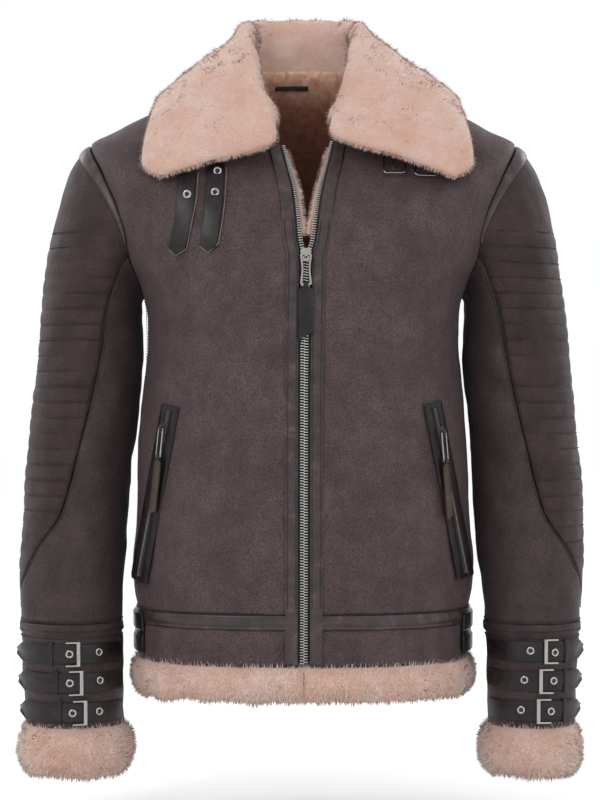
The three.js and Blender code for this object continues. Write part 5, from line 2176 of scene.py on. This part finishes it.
@dataclass
class FrontZip:
    """The open-topped metal zip: facings, tapes, teeth, slider and pull."""

    trunk: Trunk
    finishes: Finishes
    refiner: Refiner
    pitch: float = 2.9
    tooth: tuple[float, float, float] = (4.8, 1.45, 2.3)
    middle: float = 2.9  # X of the slider

    def build(self) -> None:
        """Builds the zip."""
        for side in Side:
            self._facing(side)
            self._tape(side)
            self._teeth(side)
        slider = self.refiner.take("zip_slider", self.finishes.nickel, "metal", 0.7, 3)
        pull = self.refiner.take("zip_pull", self.finishes.nickel, "metal", 0.5, 3)
        for piece, share, waist in ((slider, 1.3, 0.0), (pull, 1.3, 0.26)):
            self._shape(piece, share, waist)
        self.refiner.take("zip_pull_tab", self.finishes.strap, "trim_leather", 0.5, 3)
        log.info("front zip built")

    def _shape(self, piece: bpy.types.Object, share: float, waist: float) -> None:
        """Widens a piece about the zip's middle.

        Args:
            piece: The slider or its pull.
            share: How many times wider it becomes.
            waist: How far it draws in again at half its height, as a share of its width.
        """
        bm = bmesh.new()
        bm.from_mesh(piece.data)
        if waist:
            long = [edge for edge in bm.edges if edge.calc_length() > 5 * MM]
            bmesh.ops.subdivide_edges(bm, edges=long, cuts=6, use_grid_fill=True)
        low = min(v.co.z for v in bm.verts)
        tall = max(v.co.z for v in bm.verts) - low
        for vert in bm.verts:
            drawn = 1 - waist * math.sin(math.pi * (vert.co.z - low) / tall) ** 2
            vert.co.x = (self.middle + (vert.co.x / MM - self.middle) * share * drawn) * MM
        bm.to_mesh(piece.data)
        bm.free()

    def _facing(self, side: Side) -> None:
        """Lays the smooth leather strip beside the tape, rounded over its edge.

        Args:
            side: Which side of the jacket.
        """

        def limits(up: Array) -> tuple[Array, Array]:
            """Gives its two edges.

            Args:
                up: Length up the trunk.

            Returns:
                The two ends.
            """
            return (
                self.trunk.zip_angle(side.sign, up, EDGE_TO_TEETH - 0.6),
                self.trunk.zip_angle(side.sign, up, EDGE_TO_TEETH + FACING_WIDTH),
            )

        def heights(share: Array, up: Array, points: Array) -> Array:
            """Rounds it over its cord and steps over the waist's bands.

            Args:
                share: Across the strip, 0 to 1.
                up: Length up the trunk.
                points: The points there, in millimetres.

            Returns:
                How far each point stands out, in millimetres.
            """
            rolled = 2.1 * np.sin(np.pi * np.clip(share, 0, 1)) ** 0.7
            ditch = 0.9 * np.exp(-(((np.minimum(share, 1 - share) - 0.17) / 0.045) ** 2))
            step = 1.3 * np.clip((62 - up) / 6, 0, 1) + 1.0 * np.clip((up - 560) / 24, 0, 1)
            return 1.7 + rolled - ditch + step + unevenness(points, 30, 0.5, 2)

        piece = Sheet(
            f"zip_facing_leather_{side.tag}", self.trunk.point, (0, 1), (2, 738), (14, 240),
            [self.finishes.trim], limits=limits, relief=heights, wall=1.5,
        ).build()
        settle(piece, "root", "trim_leather", f"zip_facing_{side.tag}")

    def _tape(self, side: Side) -> None:
        """Lays the woven tape that carries the teeth.

        Args:
            side: Which side of the jacket.
        """
        piece = Sheet(
            f"zip_tape_cloth_{side.tag}", self.trunk.point, (0, 1), (2, 738), (4, 200),
            [self.finishes.tape],
            limits=lambda up: (
                self.trunk.zip_angle(side.sign, up, 0.7),
                self.trunk.zip_angle(side.sign, up, EDGE_TO_TEETH + 0.4),
            ),
            relief=lambda u, v, p: -1.0 - 0.8 * np.sin(np.pi * np.clip(u, 0, 1)),
            wall=0.9,
        ).build()
        settle(piece, "root", "zip_tape", f"zip_tape_{side.tag}")

    def _teeth(self, side: Side) -> None:
        """Clamps the teeth on the tape's edge; below the slider they mesh with the other side's.

        Args:
            side: Which side of the jacket.
        """
        ups = np.linspace(4, 736, 400)
        angles = self.trunk.zip_angle(side.sign, ups, 2.0)
        course = on_surface(self.trunk.point, angles, ups, 0.0, 1, (0.2, 0.5))
        points = [p for p, _ in course]
        keys = np.array([tuple(p) for p in points])
        places = []
        for spot, way in spread(points, self.pitch):
            near = int(np.argmin(((keys - np.array(spot)) ** 2).sum(axis=1)))
            away = course[near][1]
            across = way.cross(away).normalized() * side.sign
            shift = self.pitch / 2 if side is Side.LEFT else 0.0
            turned = Matrix((across, way, across.cross(way))).transposed().to_4x4()
            places.append(Matrix.Translation((spot + way * shift - across * 0.4) * MM) @ turned)
        piece = copies(f"zip_teeth_{side.tag}", self._tooth(), places)
        settle(piece, "root", "metal")
        log.info("zip teeth %s: %d", side.tag, len(places))

    def _tooth(self) -> bpy.types.Object:
        """Shapes one tooth, in metres, with its length along X.

        Returns:
            The tooth.
        """
        bm = bmesh.new()
        bmesh.ops.create_cube(bm, size=MM)
        bmesh.ops.scale(bm, vec=self.tooth, verts=bm.verts)
        bmesh.ops.bevel(
            bm, geom=bm.edges[:], offset=0.35 * MM, offset_type="OFFSET", affect="EDGES",
            segments=1, profile=0.5, material=-1, clamp_overlap=True,
        )
        return to_object("tooth", bm, [self.finishes.nickel])


@dataclass
class SlantPockets:
    """The slanting chest-high pockets: leather welts, a metal zip, its slider and pull."""

    trunk: Trunk
    finishes: Finishes
    refiner: Refiner
    courses: dict[Side, tuple[tuple[float, float], tuple[float, float]]] = field(
        default_factory=lambda: {
            Side.RIGHT: ((-141, -369), (-177.5, -560)),
            Side.LEFT: ((137.5, -366), (175.5, -556)),
        }
    )
    pitch: float = 2.4
    tooth: tuple[float, float, float] = (3.4, 1.2, 1.6)

    def build(self) -> None:
        """Builds both pockets."""
        for side in Side:
            tag = side.tag
            self.refiner.take(f"pocket_welt_{tag}", self.finishes.strap, "trim_leather", 0.8, 3)
            self.refiner.take(f"pocket_zip_{tag}", self.finishes.tape, "zip_tape", 0.3, 1)
            self.refiner.take(f"pocket_pull_{tag}", self.finishes.nickel, "metal", 0.5, 3)
            self.refiner.take(f"pocket_tab_{tag}", self.finishes.cord, "trim_leather", 0.5, 3)
            self._teeth(side)
            log.info("pocket %s built", tag)

    def line(
        self, side: Side, out: float, start: float, end: float, rise: float, count: int = 60
    ) -> list[tuple[Vector, Vector]]:
        """Reads a line beside the pocket's mouth.

        Args:
            side: Which pocket.
            out: Distance from the mouth's middle, to the wearer's left where positive.
            start: Share of the mouth's length at which the line starts.
            end: Share at which it ends.
            rise: Height over the front's leather.
            count: Number of points.

        Returns:
            Points with their outward normals.
        """
        (top_x, top_z), (low_x, low_z) = self.courses[side]
        run = np.array([low_x - top_x, low_z - top_z])
        across = np.array([-run[1], run[0]]) / np.linalg.norm(run)
        found = []
        for t in np.linspace(start, end, count):
            x, z = np.array([top_x, top_z]) + run * t + across * out
            found.append(front_spot(self.trunk, float(x), float(z), rise))
        return found

    def _teeth(self, side: Side) -> None:
        """Sets the closed zip's teeth along the mouth, below the slider.

        Args:
            side: Which side of the jacket.
        """
        course = self.line(side, 0, 0.2, 0.965, 4.0, 90)
        keys = np.array([tuple(p) for p, _ in course])
        places = []
        for number, (spot, way) in enumerate(spread([p for p, _ in course], self.pitch / 2)):
            away = course[int(np.argmin(((keys - np.array(spot)) ** 2).sum(axis=1)))][1]
            across = way.cross(away).normalized()
            hand = 1 if number % 2 else -1
            turned = Matrix((across, way, across.cross(way))).transposed().to_4x4()
            places.append(Matrix.Translation((spot + across * 0.7 * hand) * MM) @ turned)
        bm = bmesh.new()
        bmesh.ops.create_cube(bm, size=MM)
        bmesh.ops.scale(bm, vec=self.tooth, verts=bm.verts)
        tooth = to_object("pocket_tooth", bm, [self.finishes.dull_nickel])
        piece = copies(f"pocket_teeth_{side.tag}", tooth, places)
        settle(piece, "root", "metal")


def front_spot(trunk: Trunk, x: float, z: float, rise: float) -> tuple[Vector, Vector]:
    """Finds a spot on a front with the leather's outward normal.

    Args:
        trunk: The trunk.
        x: Across, in millimetres.
        z: Height.
        rise: How far above the leather.

    Returns:
        The point and the normal.
    """
    p = trunk.front(np.array([x, x + 1, x, x - 1, x]), np.array([z, z, z + 1, z, z - 1]))
    away = Vector(np.cross(p[1] - p[3], p[2] - p[4])).normalized()
    return Vector(p[0]) + away * rise, away


@dataclass
class CollarStraps:
    """Two pointed straps on the wearer's right and their wire buckles on the left."""

    trunk: Trunk
    finishes: Finishes
    refiner: Refiner
    depth: float = -140.0  # Y of the leather under the straps
    eyelets: tuple[tuple[float, float], ...] = ((186, 194), (214, 192), (216, 169))  # in the frame
    courses: tuple[tuple[tuple[float, float], ...], ...] = (
        ((196.6, 170), (195.4, 200), (191.6, 222), (187, 248), (175.8, 254.6), (169, 248)),
        ((225, 165), (224.2, 200), (222, 222), (218.6, 244), (208.2, 252.6), (200.2, 246)),
    )

    def build(self) -> None:
        """Builds straps and buckles."""
        for number in (1, 2):
            self.refiner.take(f"collar_strap_{number}", self.finishes.strap, "trim_leather", 0.7, 3)
            self.refiner.take(f"collar_chape_{number}", self.finishes.strap, "trim_leather", 0.5, 2)
            self.refiner.take(f"collar_buckle_{number}", self.finishes.nickel, "metal", 0.5, 3)
            self.refiner.take(f"collar_prong_{number}", self.finishes.nickel, "metal", 0.4, 2)
        self._cut_edges()
        places = [front_spot(self.trunk, *seen(px, py, self.depth), 4.3) for px, py in self.eyelets]
        Eyelets(self.finishes).punch("collar_strap_eyelets", places)
        log.info("collar straps built")

    def _cut_edges(self) -> None:
        """Shows the pale cut edge of each strap on its open side and round its point."""
        for number, course in enumerate(self.courses):
            spots = [front_spot(self.trunk, *seen(px, py, self.depth), 3.0) for px, py in course]
            smooth = [p for p, _ in spread([p for p, _ in spots], 3)]
            edge = wire(f"collar_strap_edge_{number + 1}", smooth, 0.55, self.finishes.cut_edge)
            settle(edge, "root", "trim_leather")


def seen(px: float, py: float, y: float) -> tuple[float, float]:
    """Turns a place in the 600 by 800 frame into X and Z at a depth, in millimetres.

    Args:
        px: Across the frame, from its left.
        py: Down it.
        y: The depth, in millimetres.

    Returns:
        X and Z.
    """
    scale = PIXEL * (EYE_AWAY + y) / EYE_AWAY
    return AIM_X + (px - 300) * scale, AIM_Z + (400 - py) * scale


@dataclass
class CuffStraps:
    """Three buckled straps round each cuff, with rollers, eyelets and keepers."""

    trunk: Trunk
    finishes: Finishes
    refiner: Refiner
    levels: dict[Side, tuple[float, float, float]] = field(
        default_factory=lambda: {Side.RIGHT: (-638, -669, -701), Side.LEFT: (-635, -667, -699)}
    )
    eyelets: dict[Side, tuple[tuple[float, float], ...]] = field(
        default_factory=lambda: {
            Side.RIGHT: (
                (69.7, 654), (70.1, 683), (72.8, 713), (97.3, 651.8), (98.4, 680), (97.7, 711),
            ),
            Side.LEFT: (
                (553.3, 652.2), (552, 680.5), (549.5, 711), (530.7, 650.5), (525, 679.6), (522, 709.6),
            ),
        }
    )
    keepers: dict[Side, tuple[float, float, float]] = field(
        default_factory=lambda: {Side.RIGHT: (52, 57, 60.5), Side.LEFT: (564, 563, 562)}
    )

    def build(self) -> None:
        """Builds the straps of both cuffs."""
        for side in Side:
            form = SleeveForm(side, self.trunk)
            for number in (1, 2, 3):
                tag = f"{side.tag}{number}"
                strap = self.refiner.take(f"cuff_strap_{tag}", self.finishes.strap, "trim_leather", 0.7, 3)
                self._point_tip(strap, form, self.levels[side][number - 1])
                self.refiner.take(f"cuff_buckle_{tag}", self.finishes.nickel, "metal", 0.7, 3)
                self._keeper(side, form, number)
            places = [self._spot(side, form, px, py, 4.0) for px, py in self.eyelets[side]]
            Eyelets(self.finishes, outer=4.6).punch(f"cuff_eyelets_{side.tag}", places)
            log.info("cuff straps %s built", side.tag)

    def _point_tip(self, strap: bpy.types.Object, form: SleeveForm, level: float) -> None:
        """Draws a strap's free end in to a low point beside the sleeve's outer edge.

        Args:
            strap: The strap.
            form: The sleeve that it goes round.
            level: The strap's height.
        """
        outer = float(form.rings[form.side]["outer"](level))
        bm = bmesh.new()
        bm.from_mesh(strap.data)
        for vert in bm.verts:
            x = abs(vert.co.x) / MM
            past = min(max((x - outer + 1.5) / 8, 0), 1)
            vert.co.x = math.copysign(min(x, outer + 1.5 + 3.6 * past), vert.co.x) * MM
            vert.co.z = (level + (vert.co.z / MM - level) * (1 - 0.75 * past)) * MM
        bm.to_mesh(strap.data)
        bm.free()

    def _spot(
        self, side: Side, form: SleeveForm, px: float, py: float, rise: float
    ) -> tuple[Vector, Vector]:
        """Finds the place on a cuff that shows at a place in the frame.

        Args:
            side: Which side of the jacket.
            form: The sleeve's form.
            px: Across the frame, from its left.
            py: Down it.
            rise: How far above the leather.

        Returns:
            The point and the normal, in millimetres.
        """
        y = -80.0
        for _ in range(6):
            x, z = seen(px, py, y)
            ring = {name: float(curve(z)) for name, curve in form.rings[side].items()}
            half = (ring["outer"] - ring["inner"]) / 2
            c = max(-0.98, min(0.98, (abs(x) - ring["inner"]) / half - 1))
            angle = math.degrees(math.acos(c))
            y = ring["mid_y"] - ring["deep"] * math.sin(math.radians(angle))
        line = on_surface(form.point, np.array([angle]), np.array([z]), rise, -side.sign, (0.5, -0.5))
        point, away = line[0]
        if away.y > 0:
            point, away = point - away * 2 * rise, -away
        return point, away

    def _keeper(self, side: Side, form: SleeveForm, number: int) -> None:
        """Wraps a narrow loop of leather round a strap beside its buckle.

        Args:
            side: Which side of the jacket.
            form: The sleeve's form.
            number: Which strap, 1 to 3 from the top.
        """
        px = self.keepers[side][number - 1]
        level = self.levels[side][number - 1]
        py = 400 + (AIM_Z - level) / (PIXEL * 0.968)
        point, away = self._spot(side, form, px, py, 2.2)
        bm = bmesh.new()
        bmesh.ops.create_cube(bm, size=1)
        bmesh.ops.scale(bm, vec=(5.0, 24.5, 4.6), verts=bm.verts)
        bmesh.ops.bevel(
            bm, geom=bm.edges[:], offset=1.1, offset_type="OFFSET", affect="EDGES",
            segments=3, profile=0.5, material=-1, clamp_overlap=True,
        )
        bmesh.ops.transform(bm, matrix=setting(point, Vector((0, 0, 1)), away), verts=bm.verts)
        piece = to_object(f"cuff_keeper_{side.tag}{number}", bm, [self.finishes.strap])
        settle(piece, "root", "trim_leather")


@dataclass
class Needlework:
    """Every stitched line that shows on the leather."""

    trunk: Trunk
    finishes: Finishes
    pockets: SlantPockets
    sleeves: Sleeves

    def build(self) -> None:
        """Sews all the lines, one piece for each region."""
        self._zip_lines()
        self._waist_lines()
        self._side_seams()
        self._pocket_lines()
        for side in Side:
            self._rib_lines(side)
            self._sleeve_lines(side)
            self._cuff_lines(side)

    def _line(self, angles: Array, ups: Array, rise: float) -> list[tuple[Vector, Vector]]:
        """Reads a line on the trunk.

        Args:
            angles: Where, round the trunk.
            ups: Where, up it.
            rise: How far above the leather.

        Returns:
            Each point with its normal.
        """
        return on_surface(self.trunk.point, angles, ups, rise, 1, (0.3, 0.5))

    def _zip_lines(self) -> None:
        """Sews both edges of the zip's facings."""
        ups = np.linspace(64, 560, 160)
        lines = []
        for side in Side:
            for away in (EDGE_TO_TEETH + 1.2, EDGE_TO_TEETH + FACING_WIDTH - 2.2):
                lines.append(self._line(self.trunk.zip_angle(side.sign, ups, away), ups, 2.3))
        Stitcher(self.finishes.thread).sew("zip_stitches", lines)

    def _waist_lines(self) -> None:
        """Sews under and over the waist's welt, all round."""
        lines = []
        for up, rise in ((43.2, 1.1), (55.5, 0.6)):
            for low, high in ((9, 90), (90, 270), (270, 351)):
                angles = np.linspace(low + 0.5, high - 0.5, 90)
                lines.append(self._line(angles, np.full(90, up), rise))
        Stitcher(self.finishes.thread).sew("waist_stitches", lines)

    def _side_seams(self) -> None:
        """Sews beside the side seams of the trunk."""
        ups = np.linspace(58, 392, 100)
        lines = [self._line(np.full(100, angle), ups, -0.4) for angle in (91.5, -88.5)]
        Stitcher(self.finishes.thread).sew("side_stitches", lines)

    def _pocket_lines(self) -> None:
        """Sews round the pockets' welts."""
        lines = []
        for side in Side:
            for out in (-8.7, 8.7):
                lines.append(self.pockets.line(side, out, 0.02, 0.98, 3.4))
            for out in (-3.9, 3.9):
                lines.append(self.pockets.line(side, out, 0.03, 0.97, 3.4))
        needle = Stitcher(self.finishes.thread, pitch=2.8, length=2.0, radius=0.34)
        needle.sew("pocket_stitches", lines)

    def _rib_lines(self, side: Side) -> None:
        """Sews the lines between the sleeve's ribs.

        Args:
            side: Which side of the jacket.
        """
        form = SleeveForm(side, self.trunk)
        lines = []
        for number in range(self.sleeves.rib_count + 1):
            z = self.sleeves.rib_first_z - number * self.sleeves.rib_pitch
            angles = np.linspace(-118, 118, 100)
            low, high = np.zeros(100), np.full(100, SLEEVE_DOWN)
            for _ in range(20):
                middle = (low + high) / 2
                above = form.down(angles, middle)[:, 2] > z
                low, high = np.where(above, middle, low), np.where(above, high, middle)
            down = (low + high) / 2
            seam = form.seam_at(sleeve_level(down))
            inside = np.abs(angles) < seam - 3
            if inside.sum() > 6:
                at = (angles[inside], down[inside])
                lines.append(on_surface(form.down, *at, -0.1, side.sign, (0.5, 0.5)))
        needle = Stitcher(self.finishes.thread, pitch=3.4, length=2.6, radius=0.45)
        needle.sew(f"rib_stitches_{side.tag}", lines)

    def _sleeve_lines(self, side: Side) -> None:
        """Sews both sides of the seams between ribbed and plain leather.

        Args:
            side: Which side of the jacket.
        """
        form = SleeveForm(side, self.trunk)
        down = np.linspace(24, 446, 160)
        seam = form.seam_at(sleeve_level(down))
        lines = []
        for hand in (1, -1):
            for beside in (-2.2, 2.2):
                angles = hand * (seam + beside)
                lines.append(on_surface(form.down, angles, down, 0.1, side.sign, (0.5, 0.5)))
        Stitcher(self.finishes.thread).sew(f"sleeve_stitches_{side.tag}", lines)

    def _cuff_lines(self, side: Side) -> None:
        """Sews the seams of the cuff's band, all round.

        Args:
            side: Which side of the jacket.
        """
        form = SleeveForm(side, self.trunk)
        lines = []
        for z, rise in ((-604.0, 0.4), (-614.5, 1.6), (-621.5, 0.3)):
            angles = np.linspace(0, 359, 150)
            lines.append(on_surface(form.point, angles, np.full(150, z), rise, -side.sign, (0.5, 0.5)))
        Stitcher(self.finishes.thread).sew(f"cuff_stitches_{side.tag}", lines)


@dataclass
class SmallFittings:
    """The side adjusters at the waist and the hanger loop in the neck."""

    finishes: Finishes
    refiner: Refiner

    def build(self) -> None:
        """Builds them."""
        for side in Side:
            self.refiner.take(f"side_tab_{side.tag}", self.finishes.strap, "trim_leather", 0.8, 3)
        self.refiner.take("hanger_loop", self.finishes.strap, "trim_leather", 0.6, 3)
        log.info("side tabs and hanger loop built")


@dataclass(frozen=True)
class Studio:
    """A pale studio: one large floor, an even sky and soft lights."""

    eye: tuple[float, float, float] = (-0.0034, -2.5, -0.363)
    lens: float = 100.446
    floor_z: float = -0.83
    sky: str = "ffffff"

    def build(self) -> None:
        """Sets the camera, the floor and the lights."""
        scene = bpy.context.scene
        view = bpy.data.cameras.new("view")
        view.lens = self.lens
        view.sensor_width = 36
        camera = bpy.data.objects.new("view", view)
        camera.location = self.eye
        camera.rotation_euler = (math.pi / 2, 0, 0)
        scene.collection.objects.link(camera)
        scene.camera = camera
        scene.view_settings.view_transform = "Standard"
        self._floor()
        world = bpy.data.worlds.new("sky")
        world.use_nodes = True
        backdrop = world.node_tree.nodes["Background"]
        backdrop.inputs[0].default_value = linear(self.sky)
        backdrop.inputs[1].default_value = 1.0
        scene.world = world
        self._lamp("key", (-1.5, -2.3, 1.5), 1.3, 26)
        self._lamp("fill", (1.7, -2.1, 0.7), 1.5, 10)
        self._lamp("rim_right", (-1.6, 1.2, 0.8), 0.9, 8)
        self._lamp("rim_left", (1.6, 1.3, 0.8), 0.9, 8)

    def _floor(self) -> None:
        """Lays the floor."""
        bm = bmesh.new()
        bmesh.ops.create_grid(bm, x_segments=1, y_segments=1, size=12)
        bmesh.ops.translate(bm, vec=(0, 4, self.floor_z), verts=bm.verts)
        s = Shader("paper")
        floor = to_object("floor", bm, [s.finish(self.sky, 0.9, None, Specular_IOR_Level=0.1)])

    def _lamp(self, name: str, place: tuple[float, float, float], size: float, power: float) -> None:
        """Hangs a soft square lamp that faces the jacket.

        Args:
            name: The lamp's name.
            place: Where it hangs, in metres.
            size: Its width, in metres.
            power: Its power, in watts.
        """
        light = bpy.data.lights.new(name, "AREA")
        light.size = size
        light.energy = power
        lamp = bpy.data.objects.new(name, light)
        lamp.location = place
        way = Vector((0, 0, -0.35)) - Vector(place)
        lamp.rotation_euler = way.to_track_quat("-Z", "Y").to_euler()
        bpy.context.scene.collection.objects.link(lamp)


def main() -> None:
    """Loads the model, dresses it and sets the studio."""
    logging.basicConfig(level=logging.INFO, format="%(name)s %(message)s")
    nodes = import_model()["nodes"]
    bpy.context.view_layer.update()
    trunk = Trunk()
    finishes = Finishes()
    TrunkPanels(trunk, finishes).build()
    sleeves = Sleeves(trunk, finishes)
    sleeves.build()
    Furs(trunk, CollarForm(), finishes).build()
    refiner = Refiner(nodes)
    FrontZip(trunk, finishes, refiner).build()
    pockets = SlantPockets(trunk, finishes, refiner)
    pockets.build()
    CollarStraps(trunk, finishes, refiner).build()
    CuffStraps(trunk, finishes, refiner).build()
    SmallFittings(finishes, refiner).build()
    Needlework(trunk, finishes, pockets, sleeves).build()
    Studio().build()


if __name__ == "__main__":
    main()
